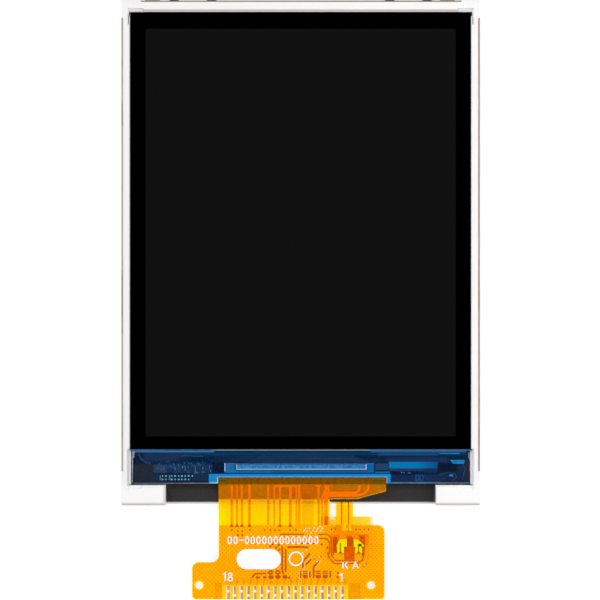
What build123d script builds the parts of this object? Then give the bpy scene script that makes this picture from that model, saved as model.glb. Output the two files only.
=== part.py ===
from build123d import *
import os
from math import atan, degrees, sin

# Colour display module with a solder flex, lying on its back with the screen up.
# Origin: middle of the back face. +X right, +Y up the picture, +Z out of the screen.

os.makedirs("parts", exist_ok=True)

# Module outline
module_width = 42.72
module_height = 60.26
module_thickness = 2.40
half_width = module_width / 2
half_height = module_height / 2

# Steel tray
sheet = 0.20
bend_radius = 0.30
tray_edge_drop = 0.10
side_wall_top_inset = 2.23
side_wall_bottom_inset = 4.07
top_wall_inset = 2.26
tray_foot_side_inset = 1.56
tray_foot_inset = 1.13
spring_tab_width = 3.34
spring_tab_slot = 1.10
spring_tab_offset = 12.83
spring_tab_root = 0.55
catch_low = 0.80
catch_height = 0.75
top_catch_width = 2.20
side_catch_width = 3.40
side_catch_pitch = 17.50

# Moulded frame
wall_clearance = 0.02
side_rim = 0.94
top_rim = 1.23
shelf_width = 0.71
foot_width = 5.29
rail_setback = 0.20
rail_width = 1.46
foot_edge_radius = 0.40
foot_corner_radius = 0.15
foot_side_radius = 0.20
catch_play = 0.15
catch_root = 0.10
relief_depth = 0.25
relief_width = 0.16
relief_length = 4.34
relief_draft = 20
relief_strip = 0.10
relief_bulge = 0.46
relief_bulge_length = 1.40
relief_slant = 0.35
corner_relief_width = 0.10
corner_relief_length = 1.70
stop_rib_drop = 0.10
stop_rib_clearance = 0.04
lamp_pocket_clearance = 0.12

# Backlight layers
reflector_thickness = 0.07
guide_thickness = 0.55
guide_clearance = 0.15
guide_ear_length = 3.20
guide_ear_reach = 0.40
guide_ear_height = 17.0
diffuser_thickness = 0.05
prism_thickness = 0.065
film_clearance = 0.25
shading_tape_thickness = 0.06
shading_tape_rim = 1.36
shading_tape_end = 0.21
shading_tape_clearance = 0.10
shading_tape_relief = 0.26

# Lamps and their circuit
lamp_count = 4
lamp_pitch = 9.00
lamp_width = 3.80
lamp_depth = 1.00
lamp_guide_distance = 0.05
lamp_window_width = 2.90
lamp_window_height = 0.40
lamp_window_depth = 0.18
led_tape_thickness = 0.05
led_copper_thickness = 0.035
led_base_thickness = 0.095
led_cover_thickness = 0.025
led_flex_clearance = 0.10
led_flex_overlap = 1.00
led_flex_setback = 0.28
led_rail_width = 0.55
led_track_width = 0.16
led_track_pitch = 0.83
led_track_offset = 0.08
led_edge_margin = 0.05
tail_left = 4.22
tail_right = 6.22

# Glass cell
glass_thickness = 0.50
cell_distance = 0.01
cell_side_clearance = 0.10
cell_top_clearance = 0.30
cell_bottom_clearance = 0.18
cell_bottom_rim = 2.57
ledge_length = 3.94
polarizer_thickness = 0.13
polarizer_side_inset = 0.05
polarizer_bottom_inset = 0.21
seal_width = 0.80

# Driver chip on the ledge
chip_length = 15.57
chip_width = 0.64
chip_thickness = 0.30
chip_centre_x = 0.09
chip_edge_distance = 1.99
chip_film_thickness = 0.015
coating_thickness = 0.10
coating_inset = 0.12
coating_clearance = 0.03

# Main flex layers and its gentle double bend
layer_clearance = 0.002
cover_thickness = 0.020
copper_thickness = 0.018
base_thickness = 0.025
bond_film_thickness = 0.02
bond_overlap = 0.73
bond_straight = 0.44
bend_run = 3.40

# Main flex outline, seen from the front
bond_left = -9.77
bond_right = 10.18
bond_side_length = 1.68
wing_bottom_drop = 2.51
wing_corner_x = 6.83
neck_right = 3.46
body_top_drop = 5.65
body_right = 10.00
body_bottom_drop = 14.51
ear_left = -12.94
ear_height = 4.44
body_left = -9.76
edge_margin = 0.22
fill_margin = 0.10

# Solder fingers and locating holes
finger_count = 18
finger_pitch = 0.80
finger_width = 0.40
finger_length = 1.58
finger_thickness = 0.035
finger_centre_x = -1.85
finger_hole_radius = 0.15
finger_hole_inset = 0.46
finger_hole_stagger = 0.50
finger_window_margin = 0.72
finger_window_lead = 0.08
copper_window_left = 0.81
copper_window_right = 1.44
copper_window_lead = 0.28
locating_hole_radius = 0.45
locating_hole_spacing = 20.46
locating_hole_inset = 1.68
locating_hole_land = 0.20

# Lamp joints on the main flex
joint_k_x = 4.75
joint_a_x = 6.92
joint_k_shift = 0.15
joint_top_drop = 7.35
joint_wide = 1.22
joint_wide_height = 0.90
joint_narrow = 0.82
joint_narrow_height = 0.76
joint_thickness = 0.07
pad_width = 1.10
pad_length = 1.60
pad_window_left = 3.85
pad_window_right = 7.95
pad_window_top_drop = 6.80
pad_window_height = 3.10
tape_left = 2.78
tape_right = 8.62
tape_top_drop = 4.64
tape_height = 4.93
tape_thickness = 0.05
tape_ramp = 0.45
tape_foot = 0.45

# Heights of the layers, from the back face up
floor_front = sheet
guide_rear = floor_front + reflector_thickness
guide_front = guide_rear + guide_thickness
led_rear = guide_front + led_tape_thickness
led_copper_front = led_rear + led_copper_thickness
led_front = led_copper_front + led_base_thickness
shelf_front = guide_front + diffuser_thickness + 2 * prism_thickness
tape_front = shelf_front + shading_tape_thickness
rear_glass_rear = tape_front + polarizer_thickness
rear_glass_front = rear_glass_rear + glass_thickness
front_glass_rear = rear_glass_front + cell_distance
front_glass_front = front_glass_rear + glass_thickness

# Walls of the tray
side_wall_length = module_height - side_wall_top_inset - side_wall_bottom_inset
side_wall_shift = (side_wall_bottom_inset - side_wall_top_inset) / 2
top_wall_width = module_width - 2 * top_wall_inset
tray_foot_width = module_width - 2 * tray_foot_side_inset
foot_gap_width = module_width - 2 * foot_width

# Frame pocket and the cell inside it
pocket_half = half_width - side_rim
pocket_top = half_height - top_rim
glass_half = pocket_half - cell_side_clearance
glass_top = pocket_top - cell_top_clearance
rear_glass_bottom = cell_bottom_rim - half_height
front_glass_bottom = rear_glass_bottom + ledge_length
chip_centre_y = rear_glass_bottom + chip_edge_distance
pocket_bottom = rear_glass_bottom - cell_bottom_clearance
stop_rib_low = glass_top + stop_rib_clearance

# Light guide window, lamp rail and lamp circuit
window_half = pocket_half - shelf_width
window_top = pocket_top - shelf_width
rail_bottom = rail_setback - half_height
rail_top = rail_bottom + rail_width
lamp_bottom = rail_top + lamp_pocket_clearance
lamp_top = lamp_bottom + lamp_depth
guide_bottom = lamp_top + lamp_guide_distance
led_flex_top = guide_bottom + led_flex_overlap
led_flex_bottom = rail_bottom + led_flex_setback
led_flex_half = foot_gap_width / 2 - led_flex_clearance
lamp_height = led_rear - guide_rear
lamp_places = GridLocations(lamp_pitch, 1, lamp_count, 1)

# Flex heights where it is bonded to the glass
rear_copper_rear = rear_glass_front + bond_film_thickness
rear_cover_rear = rear_copper_rear - layer_clearance - cover_thickness
base_rear = rear_copper_rear + copper_thickness + layer_clearance
base_front = base_rear + base_thickness
front_copper_rear = base_front + layer_clearance
front_cover_rear = front_copper_rear + copper_thickness + layer_clearance
front_cover_front = front_cover_rear + cover_thickness

# The body of the flex lies just under the tail of the lamp circuit
tail_rear = led_rear - layer_clearance - led_cover_thickness
flex_drop = front_cover_front - (tail_rear - layer_clearance)
bend_middle = (base_rear + base_front) / 2
bend_angle = 2 * atan(flex_drop / bend_run)
flex_bend_radius = bend_run / (2 * sin(bend_angle))

# Flex places along Y, all from the top edge of the bonded strip
flex_top = rear_glass_bottom + bond_overlap
bend_start = rear_glass_bottom - bond_straight
bend_end = bend_start - bend_run
body_top = flex_top - body_top_drop
flex_bottom = flex_top - body_bottom_drop
finger_top = flex_bottom + finger_length
finger_window_top = finger_top + finger_window_lead
finger_span = finger_pitch * (finger_count - 1)
finger_window_half = finger_span / 2 + finger_window_margin
joint_top = flex_top - joint_top_drop
joint_step = joint_top - joint_wide_height
joint_bottom = joint_step - joint_narrow_height
pad_bottom = joint_step - pad_length
pad_window_top = flex_top - pad_window_top_drop
joint_front = led_front + joint_thickness
leg_k_x = joint_k_x + joint_k_shift
body_copper_top = body_top - fill_margin


def rectangle_between(left, right, bottom, top):
    """Rectangle given by its four sides, added to the sketch that is open."""
    with Locations(((left + right) / 2, (bottom + top) / 2)):
        Rectangle(right - left, top - bottom)


def tray_floor(growth):
    """Cross-shaped floor of the steel tray, grown at the ends of its arms."""
    foot_bottom = tray_foot_inset - half_height - growth
    with BuildSketch() as cross:
        with Locations((0, side_wall_shift)):
            Rectangle(module_width, side_wall_length + 2 * growth)
        rectangle_between(-top_wall_width / 2 - growth, top_wall_width / 2 + growth, 0, half_height)
        rectangle_between(-tray_foot_width / 2 - growth, tray_foot_width / 2 + growth, foot_bottom, 0)
    return cross.sketch


def tray_walls(thickness, growth):
    """Plan of the two side walls and the top wall of the tray."""
    with BuildSketch() as walls:
        with Locations(
            (half_width - thickness / 2, side_wall_shift),
            (thickness / 2 - half_width, side_wall_shift),
        ):
            Rectangle(thickness, side_wall_length + 2 * growth)
        with Locations((0, half_height - thickness / 2)):
            Rectangle(top_wall_width + 2 * growth, thickness)
    return walls.sketch


def side_catches(width):
    """Places of the catches along the side walls, as (centre, half width) along Y."""
    return [(side_wall_shift + step * side_catch_pitch, width / 2) for step in (-1, 0, 1)]


# Steel tray: floor, bent walls, spring tabs and catch windows
tray_wall_top = module_thickness - tray_edge_drop
with BuildPart() as back_shell:
    with BuildSketch():
        add(tray_floor(0))
    extrude(amount=sheet)
    with BuildSketch():
        add(tray_walls(sheet, 0))
    extrude(amount=tray_wall_top)
    bends = back_shell.edges().group_by(Axis.Z)[0]
    side_bends = bends.filter_by(Axis.Y).filter_by(lambda edge: edge.length > side_wall_length / 2)
    top_bend = bends.filter_by(Axis.X).sort_by(Axis.Y)[-1:]
    fillet(side_bends + top_bend, bend_radius)
    with BuildSketch(Plane.XZ.offset(-half_height)):
        for side in (-1, 1):
            for edge in (-1, 1):
                slot_x = side * spring_tab_offset + edge * (spring_tab_width + spring_tab_slot) / 2
                with Locations((slot_x, (spring_tab_root + module_thickness) / 2)):
                    Rectangle(spring_tab_slot, module_thickness - spring_tab_root)
            with Locations((side * spring_tab_offset, catch_low + catch_height / 2)):
                Rectangle(top_catch_width, catch_height)
    extrude(amount=2 * sheet, both=True, mode=Mode.SUBTRACT)
    with BuildSketch(Plane.YZ):
        for centre, half in side_catches(side_catch_width):
            with Locations((centre, catch_low + catch_height / 2)):
                Rectangle(2 * half, catch_height)
    extrude(amount=module_width, both=True, mode=Mode.SUBTRACT)
back_shell.part.label = "back_shell"
export_step(back_shell.part, "parts/back_shell.step")

# Moulded frame: block, tray seat, cell pocket, shelf, lamp rail, reliefs, feet and catches
channel = sheet + wall_clearance
catch_reach = wall_clearance + 0.8 * sheet
catch_bottom = catch_low + catch_play
catch_top = catch_low + catch_height - catch_play
catch_lead = 0.5 * (catch_top - catch_bottom)
top_catch_half = top_catch_width / 2 - catch_play
side_catch_half = side_catch_width / 2 - catch_play
with BuildPart() as light_frame:
    with BuildSketch():
        Rectangle(module_width, module_height)
    extrude(amount=module_thickness)
    with BuildSketch():
        add(tray_floor(wall_clearance))
    extrude(amount=sheet, mode=Mode.SUBTRACT)
    with BuildSketch():
        add(tray_walls(channel, wall_clearance))
    extrude(amount=module_thickness, mode=Mode.SUBTRACT)
    # Between the two feet the frame is set back and open above the lamp rail
    with BuildSketch():
        rectangle_between(-foot_gap_width / 2, foot_gap_width / 2, -half_height, rail_bottom)
    extrude(amount=module_thickness, mode=Mode.SUBTRACT)
    with BuildSketch(Plane.XY.offset(led_rear)):
        rectangle_between(-foot_gap_width / 2, foot_gap_width / 2, rail_bottom, guide_bottom)
    extrude(amount=module_thickness - led_rear, mode=Mode.SUBTRACT)
    # Cell pocket down to the shelf, and the light guide window through it
    with BuildSketch(Plane.XY.offset(shelf_front)):
        rectangle_between(-pocket_half, pocket_half, pocket_bottom, pocket_top)
    extrude(amount=module_thickness - shelf_front, mode=Mode.SUBTRACT)
    with BuildSketch():
        rectangle_between(-window_half, window_half, lamp_top, window_top)
        with Locations((0, (rail_top + lamp_top) / 2)):
            with GridLocations(lamp_pitch, 1, lamp_count, 1):
                Rectangle(lamp_width + 2 * lamp_pocket_clearance, lamp_top - rail_top)
        with GridLocations(2 * window_half, 2 * guide_ear_height, 2, 2):
            Rectangle(2 * guide_ear_reach + 2 * guide_clearance, guide_ear_length + 2 * guide_clearance)
    extrude(amount=shelf_front, mode=Mode.SUBTRACT)
    # Rib that stops the upper edge of the glass
    with BuildSketch(Plane.XY.offset(shelf_front)):
        rectangle_between(-pocket_half, pocket_half, stop_rib_low, pocket_top)
    extrude(amount=module_thickness - stop_rib_drop - shelf_front)
    # Shallow steps round the top corners of the pocket
    with BuildSketch(Plane.XY.offset(module_thickness - relief_depth)):
        for side in (-1, 1):
            outer = side * (pocket_half + corner_relief_width)
            inner = side * (pocket_half - corner_relief_length)
            low = pocket_top - corner_relief_length
            rectangle_between(min(outer, inner), max(outer, inner), low, pocket_top + corner_relief_width)
    extrude(amount=relief_depth, taper=-relief_draft, mode=Mode.SUBTRACT)
    # Rounded feet
    foot_fronts = light_frame.faces().filter_by(Axis.Y).sort_by(Axis.Y)[:2].edges().filter_by(Axis.X)
    fillet(foot_fronts.group_by(Axis.Z)[-1], foot_edge_radius)
    foot_corners = light_frame.faces().filter_by(Axis.Y).sort_by(Axis.Y)[:2].edges().filter_by(Axis.Z)
    fillet(foot_corners, foot_corner_radius)
    # Rounded inner sides of the feet
    with BuildSketch(Plane.XZ.offset(-pocket_bottom)):
        for side in (-1, 1):
            side_x = side * foot_gap_width / 2
            with Locations((side_x, module_thickness)):
                Rectangle(2 * foot_side_radius, 2 * foot_side_radius)
            with Locations((side_x + side * foot_side_radius, module_thickness - foot_side_radius)):
                Circle(foot_side_radius, mode=Mode.SUBTRACT)
    extrude(amount=half_height + pocket_bottom, mode=Mode.SUBTRACT)
    # Shallow step below the pocket, wider round its bottom corners
    with BuildSketch(Plane.XY.offset(module_thickness - relief_depth)):
        for side in (-1, 1):
            outer = side * (pocket_half + relief_width)
            bulge_end = outer - side * (relief_bulge_length + relief_width)
            step_end = side * (foot_gap_width / 2 - relief_width)
            with BuildLine():
                Polyline(
                    (bulge_end, pocket_bottom + relief_length),
                    (outer, pocket_bottom + relief_length),
                    (outer, pocket_bottom - relief_bulge),
                    (bulge_end, pocket_bottom - relief_bulge),
                    (bulge_end - side * relief_slant, pocket_bottom - relief_strip),
                    (step_end, pocket_bottom - relief_strip),
                    (step_end, pocket_bottom + relief_strip),
                    (bulge_end, pocket_bottom + relief_strip),
                    close=True,
                )
            make_face()
    extrude(amount=relief_depth, taper=-relief_draft, mode=Mode.SUBTRACT)
    # Catches that snap into the tray: a wedge with a lead-in on its rear
    wall_face = half_height - channel
    with BuildSketch(Plane.YZ):
        with BuildLine():
            Polyline(
                (wall_face - catch_root, catch_bottom),
                (wall_face, catch_bottom),
                (wall_face + catch_reach, catch_bottom + catch_lead),
                (wall_face + catch_reach, catch_top),
                (wall_face - catch_root, catch_top),
                close=True,
            )
        make_face()
    top_wedge = extrude(amount=top_catch_half, both=True, mode=Mode.PRIVATE)
    with Locations((-spring_tab_offset, 0, 0), (spring_tab_offset, 0, 0)):
        add(top_wedge)
    side_face = half_width - channel
    with BuildSketch(Plane.XZ):
        with BuildLine():
            Polyline(
                (side_face - catch_root, catch_bottom),
                (side_face, catch_bottom),
                (side_face + catch_reach, catch_bottom + catch_lead),
                (side_face + catch_reach, catch_top),
                (side_face - catch_root, catch_top),
                close=True,
            )
        make_face()
    side_wedge = extrude(amount=side_catch_half, both=True, mode=Mode.PRIVATE)
    with Locations([(0, centre, 0) for centre, half in side_catches(side_catch_width)]):
        add(side_wedge)
        add(mirror(side_wedge, about=Plane.YZ, mode=Mode.PRIVATE))
light_frame.part.label = "light_frame"
export_step(light_frame.part, "parts/light_frame.step")


def guide_plan():
    """Light guide seen from the front, with its four locating ears."""
    half = window_half - guide_clearance
    with BuildSketch() as plan:
        rectangle_between(-half, half, guide_bottom, window_top - guide_clearance)
        with GridLocations(2 * window_half, 2 * guide_ear_height, 2, 2):
            Rectangle(2 * guide_ear_reach, guide_ear_length)
    return plan.sketch


# Reflector film on the tray floor
with BuildPart() as reflector:
    with BuildSketch(Plane.XY.offset(floor_front)):
        half = window_half - guide_clearance
        rectangle_between(-half, half, lamp_top, window_top - guide_clearance)
    extrude(amount=reflector_thickness)
reflector.part.label = "reflector"
export_step(reflector.part, "parts/reflector.step")

# Light guide
with BuildPart() as light_guide:
    with BuildSketch(Plane.XY.offset(guide_rear)):
        add(guide_plan())
    extrude(amount=guide_thickness)
light_guide.part.label = "light_guide"
export_step(light_guide.part, "parts/light_guide.step")

# Three optical films on the light guide, clear of the lamp circuit
film_half = window_half - film_clearance
film_height = guide_front
for film_name, film_thickness in (
    ("diffuser", diffuser_thickness),
    ("lower_prism_film", prism_thickness),
    ("upper_prism_film", prism_thickness),
):
    with BuildPart() as film:
        with BuildSketch(Plane.XY.offset(film_height)):
            rectangle_between(
                -film_half,
                film_half,
                led_flex_top + film_clearance,
                window_top - film_clearance,
            )
        extrude(amount=film_thickness)
    film.part.label = film_name
    export_step(film.part, f"parts/{film_name}.step")
    film_height += film_thickness

# Double-sided tape between light guide and lamp circuit
with BuildPart() as led_tape:
    with BuildSketch(Plane.XY.offset(guide_front)):
        rectangle_between(
            -led_flex_half,
            led_flex_half,
            guide_bottom + led_flex_clearance,
            led_flex_top - led_flex_clearance,
        )
    extrude(amount=led_tape_thickness)
led_tape.part.label = "led_tape"
export_step(led_tape.part, "parts/led_tape.step")

# Side-view lamps: white housing with a phosphor window facing the light guide
lamp_middle = (guide_rear + led_rear) / 2
for lamp_number, lamp_place in enumerate(lamp_places, start=1):
    lamp_x = lamp_place.position.X
    window_plane = Plane.XZ.offset(-lamp_top)
    with BuildPart() as led:
        with BuildSketch(Plane.XY.offset(guide_rear)):
            rectangle_between(lamp_x - lamp_width / 2, lamp_x + lamp_width / 2, lamp_bottom, lamp_top)
        extrude(amount=lamp_height)
        with BuildSketch(window_plane):
            with Locations((lamp_x, lamp_middle)):
                Rectangle(lamp_window_width, lamp_window_height)
        extrude(amount=lamp_window_depth, mode=Mode.SUBTRACT)
    led.part.label = f"led_{lamp_number}"
    export_step(led.part, f"parts/led_{lamp_number}.step")
    with BuildPart() as led_window:
        with BuildSketch(window_plane):
            with Locations((lamp_x, lamp_middle)):
                Rectangle(lamp_window_width, lamp_window_height)
        extrude(amount=lamp_window_depth)
    led_window.part.label = f"led_window_{lamp_number}"
    export_step(led_window.part, f"parts/led_window_{lamp_number}.step")

# Tail of the lamp circuit, in heights below the rail edge: it splits into two legs
tail_split = joint_top + 0.90
tail_legs = [
    (tail_left, rail_bottom + 0.5),
    (tail_left, tail_split - 0.35),
    (leg_k_x - 0.42, tail_split),
    (leg_k_x - joint_wide / 2, joint_top),
    (leg_k_x - joint_wide / 2, joint_step),
    (leg_k_x + joint_wide / 2, joint_step),
    (leg_k_x + joint_wide / 2, joint_top),
    (leg_k_x + 0.55, tail_split - 0.2),
    (leg_k_x + 0.75, tail_split - 0.2),
    (joint_a_x - joint_wide / 2, joint_top),
    (joint_a_x - joint_wide / 2, joint_step),
    (joint_a_x + joint_wide / 2, joint_step),
    (joint_a_x + joint_wide / 2, joint_top - 0.45),
    (tail_right + 0.15, tail_split - 0.1),
    (tail_right + 0.10, tail_split + 0.6),
    (tail_right, rail_bottom + 0.5),
]


def lamp_circuit_plan():
    """Strip over the lamps with the two-legged tail that leaves the module."""
    with BuildSketch() as plan:
        rectangle_between(-led_flex_half, led_flex_half, led_flex_bottom, led_flex_top)
        with BuildLine():
            Polyline(*tail_legs, close=True)
        make_face()
    return plan.sketch


# Amber film of the lamp circuit
with BuildPart() as led_flex:
    with BuildSketch(Plane.XY.offset(led_copper_front)):
        add(lamp_circuit_plan())
    extrude(amount=led_base_thickness)
led_flex.part.label = "led_flex"
export_step(led_flex.part, "parts/led_flex.step")

# Copper of the lamp circuit: two rails over the lamps, each with its track down the tail to a pad
tail_middle = (tail_left + tail_right) / 2
k_track_x = tail_middle + led_track_offset - led_track_pitch / 2
a_track_x = tail_middle + led_track_offset + led_track_pitch / 2
pad_half = joint_wide / 2 - led_edge_margin
with BuildPart() as led_flex_copper:
    with BuildSketch(Plane.XY.offset(led_rear)):
        track_half = led_flex_half - edge_margin
        a_rail_top = led_flex_top - edge_margin
        k_rail_bottom = led_flex_bottom + edge_margin
        rectangle_between(-track_half, track_half, a_rail_top - led_rail_width, a_rail_top)
        rectangle_between(-track_half, k_track_x, k_rail_bottom, k_rail_bottom + led_rail_width)
        for track_x, rail_end, leg_x in (
            (k_track_x, k_rail_bottom, leg_k_x),
            (a_track_x, a_rail_top - led_rail_width, joint_a_x),
        ):
            with BuildLine():
                Polyline((track_x, rail_end), (track_x, tail_split), (leg_x - pad_half / 2, joint_top))
            trace(line_width=led_track_width)
            rectangle_between(leg_x - pad_half, leg_x + pad_half, joint_step + led_edge_margin, joint_top)
    extrude(amount=led_copper_thickness)
led_flex_copper.part.label = "led_flex_copper"
export_step(led_flex_copper.part, "parts/led_flex_copper.step")

# Cover film under the tail, between the rail and the bare legs
with BuildPart() as led_flex_cover:
    with BuildSketch(Plane.XY.offset(tail_rear)):
        rectangle_between(tail_left, tail_right, tail_split, rail_bottom - led_flex_clearance)
    extrude(amount=led_cover_thickness)
led_flex_cover.part.label = "led_flex_cover"
export_step(led_flex_cover.part, "parts/led_flex_cover.step")

# Black tape over the film edges, the shelf and the lamp rail
with BuildPart() as shading_tape:
    with BuildSketch(Plane.XY.offset(shelf_front)):
        tape_half = pocket_half - shading_tape_clearance
        rail_tape_half = foot_gap_width / 2 - shading_tape_clearance
        tape_bottom = pocket_bottom + shading_tape_clearance
        tape_top = stop_rib_low - shading_tape_clearance
        rectangle_between(-tape_half, tape_half, tape_bottom, tape_top)
        rectangle_between(-rail_tape_half, rail_tape_half, rail_bottom + shading_tape_end, tape_bottom)
        opening_half = tape_half - shading_tape_rim
        opening_bottom = front_glass_bottom + shading_tape_rim
        opening_top = tape_top - shading_tape_rim
        # The lower edge is cut back under the neck of the main flex
        with Locations(((bond_left + neck_right) / 2, rail_bottom)):
            Rectangle(
                neck_right - bond_left,
                2 * (shading_tape_end + shading_tape_relief),
                mode=Mode.SUBTRACT,
            )
        with Locations((0, (opening_bottom + opening_top) / 2)):
            Rectangle(2 * opening_half, opening_top - opening_bottom, mode=Mode.SUBTRACT)
    extrude(amount=shading_tape_thickness)
shading_tape.part.label = "shading_tape"
export_step(shading_tape.part, "parts/shading_tape.step")

# Glass cell: polarizer, glass, seal ring round the liquid crystal, glass, polarizer
with BuildPart() as rear_polarizer:
    with BuildSketch(Plane.XY.offset(tape_front)):
        inset = polarizer_side_inset
        rectangle_between(inset - glass_half, glass_half - inset, front_glass_bottom, glass_top - inset)
    extrude(amount=polarizer_thickness)
rear_polarizer.part.label = "rear_polarizer"
export_step(rear_polarizer.part, "parts/rear_polarizer.step")

with BuildPart() as rear_glass:
    with BuildSketch(Plane.XY.offset(rear_glass_rear)):
        rectangle_between(-glass_half, glass_half, rear_glass_bottom, glass_top)
    extrude(amount=glass_thickness)
rear_glass.part.label = "rear_glass"
export_step(rear_glass.part, "parts/rear_glass.step")

seal_inner_half = glass_half - seal_width
seal_inner_bottom = front_glass_bottom + seal_width
seal_inner_top = glass_top - seal_width
with BuildPart() as cell_seal:
    with BuildSketch(Plane.XY.offset(rear_glass_front)):
        rectangle_between(-glass_half, glass_half, front_glass_bottom, glass_top)
        with Locations((0, (seal_inner_bottom + seal_inner_top) / 2)):
            Rectangle(2 * seal_inner_half, seal_inner_top - seal_inner_bottom, mode=Mode.SUBTRACT)
    extrude(amount=cell_distance)
cell_seal.part.label = "cell_seal"
export_step(cell_seal.part, "parts/cell_seal.step")

with BuildPart() as liquid_crystal:
    with BuildSketch(Plane.XY.offset(rear_glass_front)):
        rectangle_between(-seal_inner_half, seal_inner_half, seal_inner_bottom, seal_inner_top)
    extrude(amount=cell_distance)
liquid_crystal.part.label = "liquid_crystal"
export_step(liquid_crystal.part, "parts/liquid_crystal.step")

with BuildPart() as front_glass:
    with BuildSketch(Plane.XY.offset(front_glass_rear)):
        rectangle_between(-glass_half, glass_half, front_glass_bottom, glass_top)
    extrude(amount=glass_thickness)
    front_rim = front_glass.edges().group_by(Axis.Z)[-1]
    chamfer(front_rim, min(0.04, polarizer_side_inset))
front_glass.part.label = "front_glass"
export_step(front_glass.part, "parts/front_glass.step")

with BuildPart() as front_polarizer:
    with BuildSketch(Plane.XY.offset(front_glass_front)):
        inset = polarizer_side_inset
        low = front_glass_bottom + polarizer_bottom_inset
        rectangle_between(inset - glass_half, glass_half - inset, low, glass_top - inset)
    extrude(amount=polarizer_thickness)
front_polarizer.part.label = "front_polarizer"
export_step(front_polarizer.part, "parts/front_polarizer.step")

# Driver chip bonded to the ledge of the rear glass
with BuildPart() as ic_bond_film:
    with BuildSketch(Plane.XY.offset(rear_glass_front)):
        with Locations((chip_centre_x, chip_centre_y)):
            Rectangle(chip_length, chip_width)
    extrude(amount=chip_film_thickness)
ic_bond_film.part.label = "ic_bond_film"
export_step(ic_bond_film.part, "parts/ic_bond_film.step")

with BuildPart() as driver_ic:
    with BuildSketch(Plane.XY.offset(rear_glass_front + chip_film_thickness)):
        with Locations((chip_centre_x, chip_centre_y)):
            Rectangle(chip_length, chip_width)
    extrude(amount=chip_thickness)
driver_ic.part.label = "driver_ic"
export_step(driver_ic.part, "parts/driver_ic.step")

# Blue coating that seals the ledge round the chip and beside the flex
with BuildPart() as ledge_coating:
    with BuildSketch(Plane.XY.offset(rear_glass_front)):
        rectangle_between(
            coating_inset - glass_half,
            glass_half - coating_inset,
            rear_glass_bottom + coating_inset,
            front_glass_bottom - coating_clearance,
        )
        with Locations((chip_centre_x, chip_centre_y)):
            Rectangle(
                chip_length + 2 * coating_clearance,
                chip_width + 2 * coating_clearance,
                mode=Mode.SUBTRACT,
            )
        flex_width = bond_right - bond_left + 2 * coating_clearance
        with Locations(((bond_left + bond_right) / 2, flex_top + coating_clearance)):
            Rectangle(flex_width, bond_overlap * 2, align=(Align.CENTER, Align.MAX), mode=Mode.SUBTRACT)
    extrude(amount=coating_thickness)
ledge_coating.part.label = "ledge_coating"
export_step(ledge_coating.part, "parts/ledge_coating.step")

# Bond film between the ledge and the end of the main flex
with BuildPart() as flex_bond_film:
    with BuildSketch(Plane.XY.offset(rear_glass_front)):
        rectangle_between(bond_left, bond_right, rear_glass_bottom, flex_top)
    extrude(amount=bond_film_thickness - layer_clearance)
flex_bond_film.part.label = "flex_bond_film"
export_step(flex_bond_film.part, "parts/flex_bond_film.step")


def flex_band(low, high):
    """Side profile of one flex layer, from its heights where it is bonded."""
    upper_centre = (bend_start, bend_middle - flex_bend_radius)
    lower_centre = (bend_end, bend_middle - flex_drop + flex_bend_radius)
    turn = degrees(bend_angle)
    with BuildSketch() as band:
        with BuildLine():
            for level in (low, high):
                rise = level - bend_middle
                Line((flex_top, level), (bend_start, level))
                CenterArc(upper_centre, flex_bend_radius + rise, 90, turn)
                CenterArc(lower_centre, flex_bend_radius - rise, 270, turn)
                Line((bend_end, level - flex_drop), (flex_bottom, level - flex_drop))
            Line((flex_top, low), (flex_top, high))
            Line((flex_bottom, low - flex_drop), (flex_bottom, high - flex_drop))
        make_face()
    return band.sketch


wing_bottom = flex_top - wing_bottom_drop
ear_top = flex_bottom + ear_height
hole_y = flex_bottom + locating_hole_inset
hole_places = [
    (finger_centre_x - locating_hole_spacing / 2, hole_y),
    (finger_centre_x + locating_hole_spacing / 2, hole_y),
]


def flex_outline():
    """Outline of the main flex with rounded corners, seen from the front."""
    with BuildSketch() as outline:
        with BuildLine():
            FilletPolyline(
                (bond_left, flex_top),
                (bond_right, flex_top),
                (bond_right, flex_top - bond_side_length),
                (wing_corner_x, wing_bottom),
                (neck_right, wing_bottom),
                (neck_right, body_top),
                (body_right, body_top),
                (body_right, flex_bottom),
                (ear_left, flex_bottom),
                (ear_left, ear_top),
                (body_left, ear_top),
                radius=(0, 0, 0.2, 0.3, 0.2, 0.45, 0.85, 0.35, 0.45, 0.8, 0.9),
                close=True,
            )
        make_face()
    return outline.sketch


def locating_holes(radius):
    """The two locating holes in the lower corners, subtracted from the open sketch."""
    with Locations(*hole_places):
        Circle(radius, mode=Mode.SUBTRACT)


def finger_window():
    """Opening of the cover films over the solder fingers, subtracted from the open sketch."""
    with Locations((finger_centre_x, flex_bottom)):
        Rectangle(
            2 * finger_window_half,
            2 * (finger_window_top - flex_bottom),
            mode=Mode.SUBTRACT,
        )


def finger_places():
    """Middle of each finger's hole, in two staggered rows."""
    places = []
    for number in range(finger_count):
        x = finger_centre_x - finger_span / 2 + number * finger_pitch
        row = finger_hole_stagger if number % 2 == 0 else 0
        places.append((x, flex_bottom + finger_hole_inset + row))
    return places


# Base film of the main flex
with BuildPart() as flex_base:
    with BuildSketch(Plane.YZ):
        add(flex_band(base_rear, base_front))
    extrude(amount=module_width, both=True)
    with BuildSketch():
        add(flex_outline())
        locating_holes(locating_hole_radius)
        with Locations(*finger_places()):
            Circle(finger_hole_radius, mode=Mode.SUBTRACT)
    extrude(amount=module_thickness, mode=Mode.INTERSECT)
flex_base.part.label = "flex_base"
export_step(flex_base.part, "parts/flex_base.step")


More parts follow.
